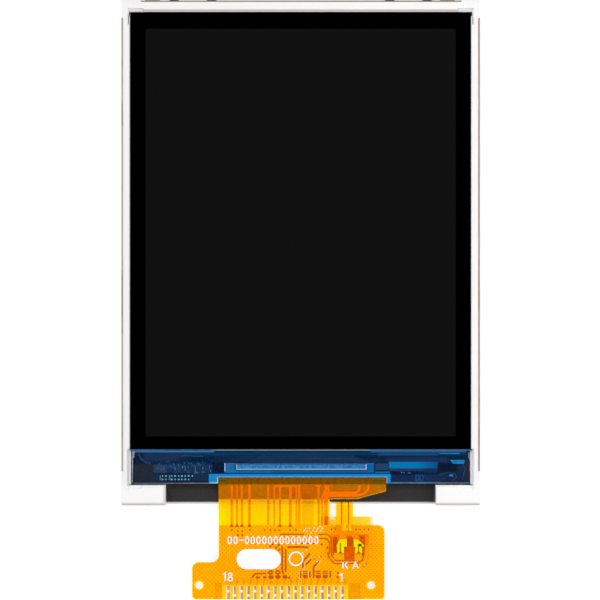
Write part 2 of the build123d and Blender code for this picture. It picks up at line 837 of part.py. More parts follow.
def body_fill(pad_window):
    """Filled copper area of the body, with or without the window round the lamp pads."""
    with BuildSketch() as fill:
        add(flex_outline())
        offset(amount=-fill_margin)
        with Locations((0, (body_copper_top + flex_bottom) / 2)):
            Rectangle(4 * module_width, body_copper_top - flex_bottom, mode=Mode.INTERSECT)
        hole_left = finger_centre_x - finger_window_half - copper_window_left
        hole_right = finger_centre_x + finger_window_half + copper_window_right
        hole_top = finger_window_top + copper_window_lead
        with Locations(((hole_left + hole_right) / 2, flex_bottom)):
            Rectangle(hole_right - hole_left, 2 * (hole_top - flex_bottom), mode=Mode.SUBTRACT)
        if pad_window:
            window_x = (pad_window_left + pad_window_right) / 2
            with Locations((window_x, pad_window_top - pad_window_height / 2)):
                Rectangle(pad_window_right - pad_window_left, pad_window_height, mode=Mode.SUBTRACT)
            with Locations(*[(x, (joint_step + pad_bottom) / 2) for x in (joint_k_x, joint_a_x)]):
                Rectangle(pad_width, joint_step - pad_bottom)
        with Locations(*hole_places):
            Circle(locating_hole_radius + locating_hole_land, mode=Mode.SUBTRACT)
    return fill.sketch


# Front copper: neck tracks and wing bar over the bend, and the filled area of the body
neck_tracks = [
    (-8.20, 0.27),
    (-7.58, 0.21),
    (-7.01, 0.24),
    (-6.10, 0.32),
    (-3.86, 0.27),
    (-3.14, 0.21),
    (-2.46, 0.27),
    (-1.22, 0.32),
    (-0.52, 0.18),
    (-0.17, 0.30),
    (0.87, 1.37),
    (2.15, 0.27),
]
track_top = rear_glass_bottom - 0.4 * bond_straight
bar_width = 0.22

# Two tracks on the right of the neck step aside under the bond, and the wider one feeds the wing bar
jog_track_width = 0.24
trunk_width = 0.45
branch_width = 0.26
wing_bar_height = 0.62
wing_bar_bottom = wing_bottom + edge_margin
wing_bar_top = wing_bar_bottom + wing_bar_height
jog_track = [(2.55, body_top), (2.55, wing_bar_bottom), (2.98, wing_bar_top + 0.2), (2.98, track_top)]
trunk_track = [(3.30, wing_bar_top - 0.1), (3.30, track_top)]
trunk_x = 3.02
bar_right = wing_corner_x - 0.10
inner_branch = [
    (bar_right - 0.15, wing_bar_top - branch_width / 2),
    (bar_right + 0.24, wing_bar_top + 0.16),
    (bar_right + 0.29, track_top),
]
outer_branch = [
    (bar_right - 0.15, wing_bar_bottom + branch_width / 2),
    (bar_right + 0.70, wing_bar_bottom + 0.32),
    (bar_right + 1.21, wing_bar_top + 0.10),
    (bar_right + 1.33, wing_bar_top + 0.44),
    (bar_right + 1.33, track_top),
]
with BuildPart() as flex_front_copper:
    with BuildSketch(Plane.YZ):
        add(flex_band(front_copper_rear, front_copper_rear + copper_thickness))
    extrude(amount=module_width, both=True)
    with BuildSketch():
        for track_x, track_width in neck_tracks:
            left = track_x - track_width / 2
            rectangle_between(left, left + track_width, body_copper_top, track_top)
        rectangle_between(neck_tracks[5][0], neck_tracks[8][0], track_top - bar_width, track_top)
        trunk_left = trunk_x - trunk_width / 2
        rectangle_between(trunk_left, trunk_left + trunk_width, body_copper_top, wing_bar_bottom)
        rectangle_between(trunk_left, bar_right, wing_bar_bottom, wing_bar_top)
        for points, line_width in (
            (jog_track, jog_track_width),
            (trunk_track, jog_track_width),
            (inner_branch, branch_width),
            (outer_branch, branch_width),
        ):
            with BuildLine():
                Polyline(*points)
            trace(line_width=line_width)
        add(body_fill(pad_window=True))
    extrude(amount=module_thickness, mode=Mode.INTERSECT)
flex_front_copper.part.label = "flex_front_copper"
export_step(flex_front_copper.part, "parts/flex_front_copper.step")

# Rear copper: fine bond fingers on the ledge and the filled area of the body
bond_finger_count = 24
bond_finger_pitch = 0.76
bond_finger_width = 0.42
with BuildPart() as flex_rear_copper:
    with BuildSketch(Plane.YZ):
        add(flex_band(rear_copper_rear, rear_copper_rear + copper_thickness))
    extrude(amount=module_width, both=True)
    with BuildSketch():
        finger_low = rear_glass_bottom - bond_straight
        with Locations(((bond_left + bond_right) / 2, (finger_low + flex_top - edge_margin) / 2)):
            with GridLocations(bond_finger_pitch, 1, bond_finger_count, 1):
                Rectangle(bond_finger_width, flex_top - edge_margin - finger_low)
        add(body_fill(pad_window=False))
    extrude(amount=module_thickness, mode=Mode.INTERSECT)
flex_rear_copper.part.label = "flex_rear_copper"
export_step(flex_rear_copper.part, "parts/flex_rear_copper.step")

# Front cover film, open over the fingers and the two lamp pads
with BuildPart() as flex_front_cover:
    with BuildSketch(Plane.YZ):
        add(flex_band(front_cover_rear, front_cover_front))
    extrude(amount=module_width, both=True)
    with BuildSketch():
        add(flex_outline())
        locating_holes(locating_hole_radius)
        finger_window()
        with Locations(*[(x, (joint_step + joint_bottom) / 2) for x in (joint_k_x, joint_a_x)]):
            Rectangle(joint_narrow + 2 * layer_clearance, joint_narrow_height, mode=Mode.SUBTRACT)
    extrude(amount=module_thickness, mode=Mode.INTERSECT)
flex_front_cover.part.label = "flex_front_cover"
export_step(flex_front_cover.part, "parts/flex_front_cover.step")

# Rear cover film, from just outside the glass down to the fingers
with BuildPart() as flex_rear_cover:
    with BuildSketch(Plane.YZ):
        add(flex_band(rear_cover_rear, rear_cover_rear + cover_thickness))
    extrude(amount=module_width, both=True)
    with BuildSketch():
        add(flex_outline())
        locating_holes(locating_hole_radius)
        finger_window()
        with Locations((0, rear_glass_bottom - bond_straight / 2)):
            Rectangle(
                2 * module_width,
                2 * bond_overlap,
                align=(Align.CENTER, Align.MIN),
                mode=Mode.SUBTRACT,
            )
    extrude(amount=module_thickness, mode=Mode.INTERSECT)
flex_rear_cover.part.label = "flex_rear_cover"
export_step(flex_rear_cover.part, "parts/flex_rear_cover.step")

# Solder fingers: tinned pads in a row, each with its hole through the base film
pad_plane = base_front + layer_clearance - flex_drop
with BuildPart() as solder_fingers:
    with BuildSketch(Plane.XY.offset(pad_plane)):
        with Locations((finger_centre_x, flex_bottom + finger_length / 2)):
            with GridLocations(finger_pitch, 1, finger_count, 1):
                Rectangle(finger_width, finger_length)
        with Locations(*finger_places()):
            Circle(finger_hole_radius, mode=Mode.SUBTRACT)
    extrude(amount=finger_thickness)
solder_fingers.part.label = "solder_fingers"
export_step(solder_fingers.part, "parts/solder_fingers.step")

# Solder joints: a wide cap on each tail leg and a step down to the pad of the main flex
pad_front = front_cover_rear - layer_clearance - flex_drop
joints = (("solder_joint_k", leg_k_x, joint_k_x), ("solder_joint_a", joint_a_x, joint_a_x))
for joint_name, leg_x, pad_x in joints:
    with BuildPart() as joint:
        with BuildSketch(Plane.XY.offset(led_front)):
            with Locations((leg_x, (joint_top + joint_step) / 2)):
                Rectangle(joint_wide, joint_wide_height)
        extrude(amount=joint_thickness)
        with BuildSketch(Plane.XY.offset(pad_front)):
            with Locations((pad_x, (joint_step + joint_bottom) / 2)):
                Rectangle(joint_narrow, joint_narrow_height)
        extrude(amount=joint_front - pad_front)
        chamfer(joint.faces().sort_by(Axis.Z)[-1].edges(), 0.6 * joint_thickness)
    joint.part.label = joint_name
    export_step(joint.part, f"parts/{joint_name}.step")

# Amber tape over the joints, laid over the tail and down to the flex on both sides
tape_low = tail_rear
with BuildPart() as joint_cover_tape:
    with BuildSketch(Plane.XZ.offset(tape_top_drop - flex_top)):
        with BuildLine():
            Polyline(
                (tape_left, tape_low),
                (tape_left + tape_foot, tape_low),
                (tape_left + tape_foot + tape_ramp, joint_front),
                (tape_right - tape_foot - tape_ramp, joint_front),
                (tape_right - tape_foot, tape_low),
                (tape_right, tape_low),
                (tape_right, tape_low + tape_thickness),
                (tape_right - tape_foot, tape_low + tape_thickness),
                (tape_right - tape_foot - tape_ramp, joint_front + tape_thickness),
                (tape_left + tape_foot + tape_ramp, joint_front + tape_thickness),
                (tape_left + tape_foot, tape_low + tape_thickness),
                (tape_left, tape_low + tape_thickness),
                close=True,
            )
        make_face()
    extrude(amount=tape_height)
joint_cover_tape.part.label = "joint_cover_tape"
export_step(joint_cover_tape.part, "parts/joint_cover_tape.step")
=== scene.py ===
import math

import bpy
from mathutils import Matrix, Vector
from mathutils.bvhtree import BVHTree
from mathutils.geometry import tessellate_polygon


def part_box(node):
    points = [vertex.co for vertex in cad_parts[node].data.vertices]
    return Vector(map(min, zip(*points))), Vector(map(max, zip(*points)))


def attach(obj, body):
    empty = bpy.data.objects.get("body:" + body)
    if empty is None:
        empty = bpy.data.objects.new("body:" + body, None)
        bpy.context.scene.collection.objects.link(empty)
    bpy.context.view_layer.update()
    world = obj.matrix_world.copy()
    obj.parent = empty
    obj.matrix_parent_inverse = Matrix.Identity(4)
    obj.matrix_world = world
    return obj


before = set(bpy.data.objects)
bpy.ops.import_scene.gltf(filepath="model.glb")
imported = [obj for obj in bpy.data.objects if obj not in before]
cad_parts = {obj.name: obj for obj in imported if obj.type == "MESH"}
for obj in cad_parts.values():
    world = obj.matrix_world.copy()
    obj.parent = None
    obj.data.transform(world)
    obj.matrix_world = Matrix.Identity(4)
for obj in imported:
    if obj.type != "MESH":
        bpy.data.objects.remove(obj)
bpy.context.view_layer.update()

MM = 0.001
# The photograph shows the module square on, at one scale: places are given in its pixels. ORIGIN_PX is
# where the shared frame's origin lies in it.
PHOTO_PX = 600
PIXELS_PER_MM = 8.397
ORIGIN_PX = (300.65, 252.3)


def x_of(px):
    """Place along x in millimetres of a column of the photograph."""
    return (px - ORIGIN_PX[0]) / PIXELS_PER_MM


def y_of(py):
    """Place along y in millimetres of a row of the photograph."""
    return (ORIGIN_PX[1] - py) / PIXELS_PER_MM


def at(px, py):
    """Place in millimetres of a point of the photograph."""
    return x_of(px), y_of(py)


def srgb(red, green, blue):
    """Linear colour from the 0 to 255 values that a picture shows."""
    out = []
    for value in (red, green, blue):
        value /= 255
        out.append(value / 12.92 if value <= 0.04045 else ((value + 0.055) / 1.055) ** 2.4)
    return (*out, 1.0)


# Small helpers for node trees. Places inside materials are in millimetres of the shared frame.


class Tree:
    """A material's node tree, with short calls for what the materials below share."""

    def __init__(self, name):
        self.material = bpy.data.materials.new(name)
        self.material.use_nodes = True
        self.tree = self.material.node_tree
        self.tree.nodes.clear()
        self.out = self.tree.nodes.new("ShaderNodeOutputMaterial")
        place = self.node("TexCoord").outputs["Object"]
        self.place = self.node("VectorMath", {0: place, "Scale": 1 / MM}, operation="SCALE").outputs[0]
        split = self.node("SeparateXYZ", {0: self.place})
        self.x, self.y, self.z = split.outputs[:3]

    def node(self, kind, inputs=(), **settings):
        """New shader node: its inputs are sockets to link or values, its settings are properties."""
        made = self.tree.nodes.new("ShaderNode" + kind)
        for name, value in settings.items():
            setattr(made, name, value)
        for key, value in dict(inputs).items():
            socket = made.inputs[key]
            if isinstance(value, bpy.types.NodeSocket):
                self.tree.links.new(value, socket)
            else:
                socket.default_value = value
        return made

    def math(self, operation, a, b=0.0):
        return self.node("Math", {0: a, 1: b}, operation=operation).outputs[0]

    def ramp(self, value, low, high, to_low=0.0, to_high=1.0):
        """Smooth change from to_low to to_high while the value goes from low to high."""
        inputs = {"Value": value, "From Min": low, "From Max": high, "To Min": to_low, "To Max": to_high}
        return self.node("MapRange", inputs, interpolation_type="SMOOTHSTEP").outputs[0]

    def step(self, value, middle, half, below=0.0, above=1.0):
        """Change within that half width of a middle value."""
        return self.ramp(value, middle - half, middle + half, below, above)

    def noise(self, scale, detail=3.0, stretch=None):
        """Noise of that grain per millimetre."""
        place = self.place
        if stretch:
            place = self.node("Mapping", {"Vector": place, "Scale": stretch}).outputs[0]
        return self.node("TexNoise", {"Vector": place, "Scale": scale, "Detail": detail}).outputs["Fac"]

    def clouds(self, scale, low=0.0, high=1.0, span=(0.3, 0.7), detail=3.0, stretch=None):
        """Noise spread from low to high: the span is the part of its own range that is used."""
        return self.ramp(self.noise(scale, detail, stretch), span[0], span[1], low, high)

    def wave(self, along, pitch):
        """Sine of a length, from -1 to 1 once a pitch."""
        return self.math("SINE", self.math("MULTIPLY", along, 2 * math.pi / pitch))

    def mix(self, share, a, b):
        """Colour a, with that share of colour b. The numbers are the node's sockets for colours."""
        return self.node("Mix", {0: share, 6: a, 7: b}, data_type="RGBA").outputs[2]

    def zone(self, box, soft=0.06, share=1.0):
        """That share inside a box of the photograph (left, top, right, bottom), 0 outside, soft edges."""
        left, high = at(box[0], box[1])
        right, low = at(box[2], box[3])
        half = soft / 2
        mask = self.step(self.x, left, half, 0.0, share)
        mask = self.math("MULTIPLY", mask, self.step(self.x, right, half, 1.0, 0.0))
        mask = self.math("MULTIPLY", mask, self.step(self.y, low, half))
        return self.math("MULTIPLY", mask, self.step(self.y, high, half, 1.0, 0.0))

    def patch(self, colour, over, box, soft=0.06, share=1.0):
        """Lays a colour over a box of the photograph."""
        return self.mix(self.zone(box, soft, share), over, colour)

    def patches(self, over, rows):
        """Lays a row of patches one after the other, each with its 0 to 255 tone, box, softness and share."""
        for shade, box, soft, share in rows:
            over = self.patch(srgb(*shade), over, box, soft, share)
        return over

    def bump(self, height, depth):
        """Relief of that depth in millimetres."""
        return self.node("Bump", {"Height": height, "Distance": depth * MM, "Strength": 1.0}).outputs[0]

    def gloss(self, colour, roughness, **inputs):
        """Principled shader, with its other inputs by the short names below."""
        names = {
            "metallic": "Metallic",
            "specular": "Specular IOR Level",
            "coat": "Coat Weight",
            "normal": "Normal",
        }
        values = {names[key]: value for key, value in inputs.items()}
        values.update({"Base Color": colour, "Roughness": roughness})
        return self.node("BsdfPrincipled", values).outputs[0]

    def done(self, shader):
        """The finished material, with that shader as its surface."""
        self.tree.links.new(shader, self.out.inputs["Surface"])
        return self.material


def plain(name, dark, light, grain, rough, depth=0.0, specular=0.5, stretch=None):
    """Material with two tones mixed by a noise of that grain per millimetre, and a fine relief."""
    t = Tree(name)
    colour = t.mix(t.clouds(grain, detail=4.0, stretch=stretch), dark, light)
    roughness = t.clouds(grain * 3.1, rough[0], rough[1], detail=2.0, stretch=stretch)
    relief = {"normal": t.bump(t.noise(grain * 5.3, stretch=stretch), depth)} if depth else {}
    return t.done(t.gloss(colour, roughness, specular=specular, **relief))


def tone(name, red, green, blue, spread=8):
    """Slightly mottled material of one 0 to 255 tone, for small marks."""
    dark = srgb(*(max(0, value - spread) for value in (red, green, blue)))
    light = srgb(*(min(255, value + spread) for value in (red, green, blue)))
    return plain(name, dark, light, 3.0, (0.3, 0.4))


AMBER = (1.0, 0.31, 0.0, 1.0)
AMBER_DARK = (0.4, 0.2, 0.0, 1.0)
AMBER_GLOW = (0.95, 0.70, 0.0, 1.0)
CLEAR = (1.0, 1.0, 1.0, 1.0)


def once_a_film(t, entering):
    """Material whose shader works on light that enters it: light that leaves it passes unchanged."""
    leaving = t.node("BsdfTransparent", {"Color": CLEAR}).outputs[0]
    behind = t.node("NewGeometry").outputs["Backfacing"]
    return t.done(t.node("MixShader", {0: behind, 1: entering, 2: leaving}).outputs[0])


def film(t, tint, body, opacity):
    """Clear coloured film: a share of the light is scattered in its body, and the rest passes with a tint."""
    scatter = t.mix(t.clouds(1.1, 0.0, 0.1), body, AMBER_DARK)
    skin = t.gloss(scatter, t.clouds(6.0, 0.22, 0.34))
    lit_behind = t.node("BsdfTranslucent", {"Color": AMBER_GLOW}).outputs[0]
    skin = t.node("AddShader", {0: skin, 1: lit_behind}).outputs[0]
    clear = t.node("BsdfTransparent", {"Color": tint}).outputs[0]
    share = t.math("ADD", opacity, t.clouds(2.3, -0.02, 0.02, span=(0.2, 0.8)))
    return once_a_film(t, t.node("MixShader", {0: share, 1: clear, 2: skin}).outputs[0])


def paint(node, material):
    """Gives a node of the CAD its material."""
    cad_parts[node].data.materials.clear()
    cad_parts[node].data.materials.append(material)


# Flat shapes, each a list of loops in photograph pixels: the outline, and the holes in it


def rect(left, top, right, bottom):
    """Rectangle with upright sides."""
    return [[(left, top), (right, top), (right, bottom), (left, bottom)]]


def disc(px, py, radius, count, squeeze=1.0):
    """Round shape with that count of corners, whose height is times squeeze."""
    turns = [2 * math.pi * k / count for k in range(count)]
    return [[(px + radius * math.cos(a), py + squeeze * radius * math.sin(a)) for a in turns]]


def ring(px, py, radius, width, count, squeeze=1.0):
    """Disc with a hole, so that a line of that width is left all round."""
    inner = radius - width
    outer_loop = disc(px, py, radius, count, squeeze)[0]
    return [outer_loop, disc(px, py, inner, count, (squeeze * radius - width) / inner)[0]]


def ribbon(points, width):
    """Line of that width through the points, with mitred corners."""
    sides = ([], [])
    for k, point in enumerate(points):
        here = Vector(point)
        ways = [Vector(b) - Vector(a) for a, b in zip(points, points[1:])][max(0, k - 1) : k + 1]
        normals = [Vector((-w.y, w.x)).normalized() for w in ways]
        middle = (normals[0] + normals[-1]).normalized()
        reach = width / 2 / max(0.4, middle.dot(normals[0]))
        sides[0].append(tuple(here + reach * middle))
        sides[1].append(tuple(here - reach * middle))
    return [sides[0] + sides[1][::-1]]


def signed_area(loop):
    return sum(a[0] * b[1] - b[0] * a[1] for a, b in zip(loop, loop[1:] + loop[:1])) / 2


# Thickness of the plates, which is also the step from one layer of marks to the next
PLATE = 0.006 * MM


def plates(name, shapes, rear, material):
    """One piece made of thin plates: each shape is an outline and its holes.

    rear is the height of their rear side in metres, or a function that gives it for a y in metres.
    """
    level = rear if callable(rear) else lambda y: rear
    verts = []
    faces = []
    for shape in shapes:
        loops = []
        for number, loop in enumerate(shape):
            loop = [at(*point) for point in loop]
            if (signed_area(loop) > 0) != (number == 0):
                loop.reverse()
            loops.append([Vector((x * MM, y * MM, 0.0)) for x, y in loop])
        flat = [v for loop in loops for v in loop]
        first, count = len(verts), len(flat)
        verts += [(v.x, v.y, level(v.y) + up) for up in (0.0, PLATE) for v in flat]
        for a, b, c in tessellate_polygon(loops):
            if (flat[b] - flat[a]).cross(flat[c] - flat[a]).z < 0:
                b, c = c, b
            faces.append((first + a, first + c, first + b))
            faces.append((first + count + a, first + count + b, first + count + c))
        start = 0
        for loop in loops:
            for k in range(len(loop)):
                a = first + start + k
                b = first + start + (k + 1) % len(loop)
                faces.append((a, b, b + count, a + count))
            start += len(loop)
    mesh = bpy.data.meshes.new(name)
    mesh.from_pydata(verts, [], faces)
    mesh.materials.append(material)
    made = bpy.data.objects.new(name, mesh)
    bpy.context.scene.collection.objects.link(made)
    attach(made, "root")


# Camera straight above, with a long lens. It sees as much as the photograph at the level of the screen.

LENS_MM = 1500
SENSOR_MM = 36
SCREEN_MM = 2.2
VIEW_WIDTH = PHOTO_PX / PIXELS_PER_MM * MM
camera_data = bpy.data.cameras.new("camera")
camera_data.lens = LENS_MM
camera_data.sensor_width = SENSOR_MM
camera_data.clip_start = 0.01
camera = bpy.data.objects.new("camera", camera_data)
bpy.context.scene.collection.objects.link(camera)
centre_x, centre_y = at(PHOTO_PX / 2, PHOTO_PX / 2)
camera.location = (centre_x * MM, centre_y * MM, SCREEN_MM * MM + VIEW_WIDTH * LENS_MM / SENSOR_MM)
bpy.context.scene.camera = camera
bpy.context.scene.view_settings.view_transform = "Standard"

# World: soft light from the sides, dim at the horizon and dark straight above, so that gloss stays deep

HORIZON_LEVEL = 0.40
SIDE_LEVEL = 1.22
world = bpy.data.worlds.new("world")
bpy.context.scene.world = world
world.use_nodes = True
sky = world.node_tree
sky.nodes.clear()
direction = sky.nodes.new("ShaderNodeTexCoord")
split = sky.nodes.new("ShaderNodeSeparateXYZ")
sky.links.new(direction.outputs["Generated"], split.inputs[0])
levels = []
# Where the light rises from the horizon's level, and where it fades towards the top, as heights from 0 to 1
for span in ((0.02, 0.22, HORIZON_LEVEL, SIDE_LEVEL), (0.50, 0.85, 1.0, 0.0)):
    level = sky.nodes.new("ShaderNodeMapRange")
    for key, value in zip(("From Min", "From Max", "To Min", "To Max"), span):
        level.inputs[key].default_value = value
    sky.links.new(split.outputs["Z"], level.inputs["Value"])
    levels.append(level.outputs[0])
both = sky.nodes.new("ShaderNodeMath")
both.operation = "MULTIPLY"
sky.links.new(levels[0], both.inputs[0])
sky.links.new(levels[1], both.inputs[1])
light = sky.nodes.new("ShaderNodeBackground")
light.inputs["Color"].default_value = (1.0, 1.0, 1.0, 1.0)
sky.links.new(both.outputs[0], light.inputs["Strength"])
sky_out = sky.nodes.new("ShaderNodeOutputWorld")
sky.links.new(light.outputs[0], sky_out.inputs["Surface"])


def lamp(name, place, power, size):
    """Soft square lamp that faces the object: place and size in metres, power in watts."""
    data = bpy.data.lights.new(name, "AREA")
    data.energy = power
    data.size = size
    made = bpy.data.objects.new(name, data)
    bpy.context.scene.collection.objects.link(made)
    made.location = place
    made.rotation_euler = (-Vector(place)).to_track_quat("-Z", "Y").to_euler()


lamp("key_lamp", (-0.30, 0.28, 0.40), 1.35, 0.30)
lamp("fill_lamp", (0.36, -0.10, 0.36), 0.95, 0.35)

# Pale floor that keeps the shadow. Its glow is for what sees it, and adds no light to the object.

FLOOR_HALF = 1.5
FLOOR_GLOW = 0.74
t = Tree("floor_paper")
paper = t.mix(t.clouds(0.4, detail=2.0), (0.38, 0.38, 0.38, 1.0), (0.41, 0.41, 0.41, 1.0))
matte = t.node("BsdfDiffuse", {"Color": paper}).outputs[0]
path = t.node("LightPath")
seen = t.math("MAXIMUM", path.outputs["Is Camera Ray"], path.outputs["Is Glossy Ray"])
seen = t.math("MAXIMUM", seen, path.outputs["Is Transmission Ray"])
glow = t.node("Emission", {"Color": (1.0, 1.0, 1.0, 1.0), "Strength": t.math("MULTIPLY", seen, FLOOR_GLOW)})
floor_material = t.done(t.node("AddShader", {0: matte, 1: glow.outputs[0]}).outputs[0])
floor_mesh = bpy.data.meshes.new("floor")
corners = [(-1, -1), (1, -1), (1, 1), (-1, 1)]
floor_mesh.from_pydata([(x * FLOOR_HALF, y * FLOOR_HALF, 0.0) for x, y in corners], [], [(0, 1, 2, 3)])
floor_mesh.materials.append(floor_material)
floor = bpy.data.objects.new("floor", floor_mesh)
bpy.context.scene.collection.objects.link(floor)

# White frame, with painted light that makes it a little lighter to the right and at the foot. These names are
# where a tone starts to change and where that ends, in millimetres of the shared frame.

FRAME_SIDES = (-22.0, 22.0)
FRAME_FOOT = (-28.5, -27.0)
t = Tree("white_plastic")
moulded = t.mix(t.ramp(t.x, *FRAME_SIDES), srgb(240, 240, 240), srgb(249, 249, 249))
moulded = t.mix(t.clouds(0.35, 0.0, 0.5), moulded, srgb(244, 242, 242))
moulded = t.mix(t.ramp(t.y, *FRAME_FOOT, 0.5, 0.0), moulded, srgb(255, 255, 255))
moulded = t.patches(moulded, [
    # Shade on the pocket's upper slope, and in the seam along the tray's top wall
    ((196, 186, 182), (143.5, 9.3, 457.8, 12.3), 0.08, 0.75),
    ((126, 121, 114), (141, 0.9, 461.5, 1.95), 0.03, 0.95),
])
# Painted shade on the rounded lower edge of the frame, at the feet
foot_edge_shade = t.ramp(t.y, y_of(505.0), y_of(501.6), 0.85, 0.0)
moulded = t.mix(foot_edge_shade, moulded, srgb(196, 188, 182))
moulded = t.patches(moulded, [
    # Painted shade on the inner sides of the two feet
    ((196, 191, 195), (163.2, 486, 168.0, 503), 0.2, 0.6),
    ((196, 191, 195), (434.6, 486, 436.4, 503), 0.2, 0.6),
    # Painted shade on the sides of the pocket beside the ledge
    ((214, 213, 217), (126.9, 449.5, 131.0, 486), 0.12, 0.8),
    ((214, 213, 217), (471.0, 449.5, 473.4, 486), 0.12, 0.8),
])
relief = t.bump(t.noise(9.0), 0.0008)
paint("light_frame", t.done(t.gloss(moulded, t.clouds(2.0, 0.38, 0.5), normal=relief)))

# Steel tray, brushed lengthwise. Its sheared rim faces up and is duller than its sides; its pale warm tone,
# which changes from left to right, is a painted reflection.

RIM_SIDES = (-20.0, 20.0)
RIM_LEVELS = (2.26, 2.29)
t = Tree("tray_steel")
brushed = t.noise(4.0, stretch=(0.15, 4.0, 1.0))
sheet = t.mix(t.ramp(brushed, 0.3, 0.7), srgb(172, 168, 164), srgb(206, 203, 200))
sheet = t.mix(t.clouds(0.25, 0.0, 0.6, span=(0.35, 0.65)), sheet, srgb(184, 172, 160))
rim = t.mix(t.ramp(t.x, *RIM_SIDES), srgb(208, 196, 188), srgb(188, 173, 164))
rim = t.mix(t.clouds(0.22, 0.0, 0.6, span=(0.48, 0.62)), rim, srgb(168, 148, 130))
rim = t.patches(rim, [
    # Painted reflection on the top wall: pale, with browner ends
    ((254, 240, 230), (120, -4, 480, 1.2), 0.05, 1.0),
    ((172, 148, 127), (145, -4, 160, 1.2), 0.15, 0.9),
    ((172, 148, 127), (440, -4, 455, 1.2), 0.15, 0.9),
])
at_rim = t.ramp(t.z, *RIM_LEVELS)
sheet = t.mix(at_rim, sheet, rim)
metal = t.math("SUBTRACT", 1.0, t.math("MULTIPLY", at_rim, 0.85))
rough = t.ramp(brushed, 0.3, 0.7, 0.28, 0.42)
paint("back_shell", t.done(t.gloss(sheet, rough, metallic=metal, normal=t.bump(brushed, 0.001))))

# Layers inside the backlight and the cell

paint("reflector", plain("reflector_white", srgb(238, 240, 242), srgb(250, 250, 250), 0.8, (0.2, 0.3)))
paint("light_guide", plain("guide_acrylic", srgb(205, 222, 224), srgb(226, 236, 238), 1.5, (0.05, 0.12)))
paint("diffuser", plain("diffuser_white", srgb(236, 236, 236), srgb(246, 246, 246), 9.0, (0.7, 0.9)))
ribs = {"depth": 0.002, "stretch": (0.2, 20, 1)}
prism = plain("prism_ribs", srgb(200, 204, 210), srgb(228, 231, 236), 2.0, (0.2, 0.35), **ribs)
paint("lower_prism_film", prism)
paint("upper_prism_film", prism)
paint("led_tape", plain("adhesive_clear", srgb(225, 224, 216), srgb(236, 235, 228), 2.0, (0.3, 0.5)))
housing = plain("lamp_white", srgb(232, 232, 230), srgb(244, 244, 242), 2.0, (0.5, 0.6), 0.001)
phosphor = plain("lamp_yellow", srgb(236, 214, 70), srgb(246, 228, 96), 5.0, (0.4, 0.6), 0.002)
for number in range(1, 5):
    paint(f"led_{number}", housing)
    paint(f"led_window_{number}", phosphor)
woven = {"depth": 0.0015, "specular": 0.3}
paint("shading_tape", plain("tape_black", srgb(39, 37, 38), srgb(47, 45, 46), 3.0, (0.55, 0.7), **woven))
paint("cell_seal", plain("seal_grey", srgb(120, 120, 116), srgb(150, 150, 146), 3.0, (0.3, 0.5)))
crystal = plain("crystal_black", srgb(8, 8, 9), srgb(14, 14, 16), 2.0, (0.1, 0.2), specular=0.3)
paint("liquid_crystal", crystal)
paint("ic_bond_film", plain("bond_resin", srgb(120, 112, 92), srgb(150, 142, 116), 4.0, (0.2, 0.4)))
paint("flex_bond_film", plain("bond_dark", srgb(54, 40, 2), srgb(70, 51, 6), 4.0, (0.2, 0.4)))

# Polarizers: black, with the picture area a shade lighter

t = Tree("polarizer_black")
picture = t.patch(srgb(17, 17, 17), srgb(0, 0, 0), (145.5, 28.8, 455.8, 436.5), 0.08)
paint("front_polarizer", t.done(t.gloss(picture, t.clouds(0.6, 0.06, 0.12), specular=0.35)))
paint("rear_polarizer", crystal)

# Glass sheets: what shows of them is their cut edges. Those towards the ledge lie below a line across.

LEDGE_LINE = -23.15
SIDE_GREY = (0.5, 0.5, 0.5, 1.0)
t = Tree("glass_front")
side = t.mix(t.clouds(1.2, span=(0.35, 0.65)), srgb(84, 72, 72), srgb(124, 108, 108))
streaks = t.clouds(1.2, span=(0.35, 0.65), stretch=(1.0, 4.0, 4.0))
edge = t.mix(streaks, srgb(34, 96, 150), srgb(60, 118, 168))
edge = t.patches(edge, [
    # Painted highlight along the cut edge: grey over the chip, paler blue to the right of it; and the
    # polarizer's shade along the top
    ((140, 142, 152), (214, 440, 371, 460), 1.2, 1.0),
    ((80, 122, 172), (371, 440, 468, 460), 1.2, 0.8),
    ((34, 34, 38), (126, 440, 474, 449.5), 0.04, 0.9),
])
edge = t.mix(t.step(t.y, LEDGE_LINE, 0.05), edge, side)
paint("front_glass", t.done(t.gloss(edge, 0.12)))

t = Tree("glass_rear")
edge = t.mix(t.clouds(1.5, span=(0.35, 0.65)), srgb(64, 66, 76), srgb(120, 122, 134))
edge = t.patch(srgb(92, 132, 172), edge, (391, 475, 470, 483.4), 0.1, 0.8)
edge = t.mix(t.step(t.y, LEDGE_LINE, 0.05), edge, SIDE_GREY)
paint("rear_glass", t.done(t.gloss(edge, 0.1)))

# Blue coating over the circuits of the ledge: a dark ground and broad patches where the light falls in

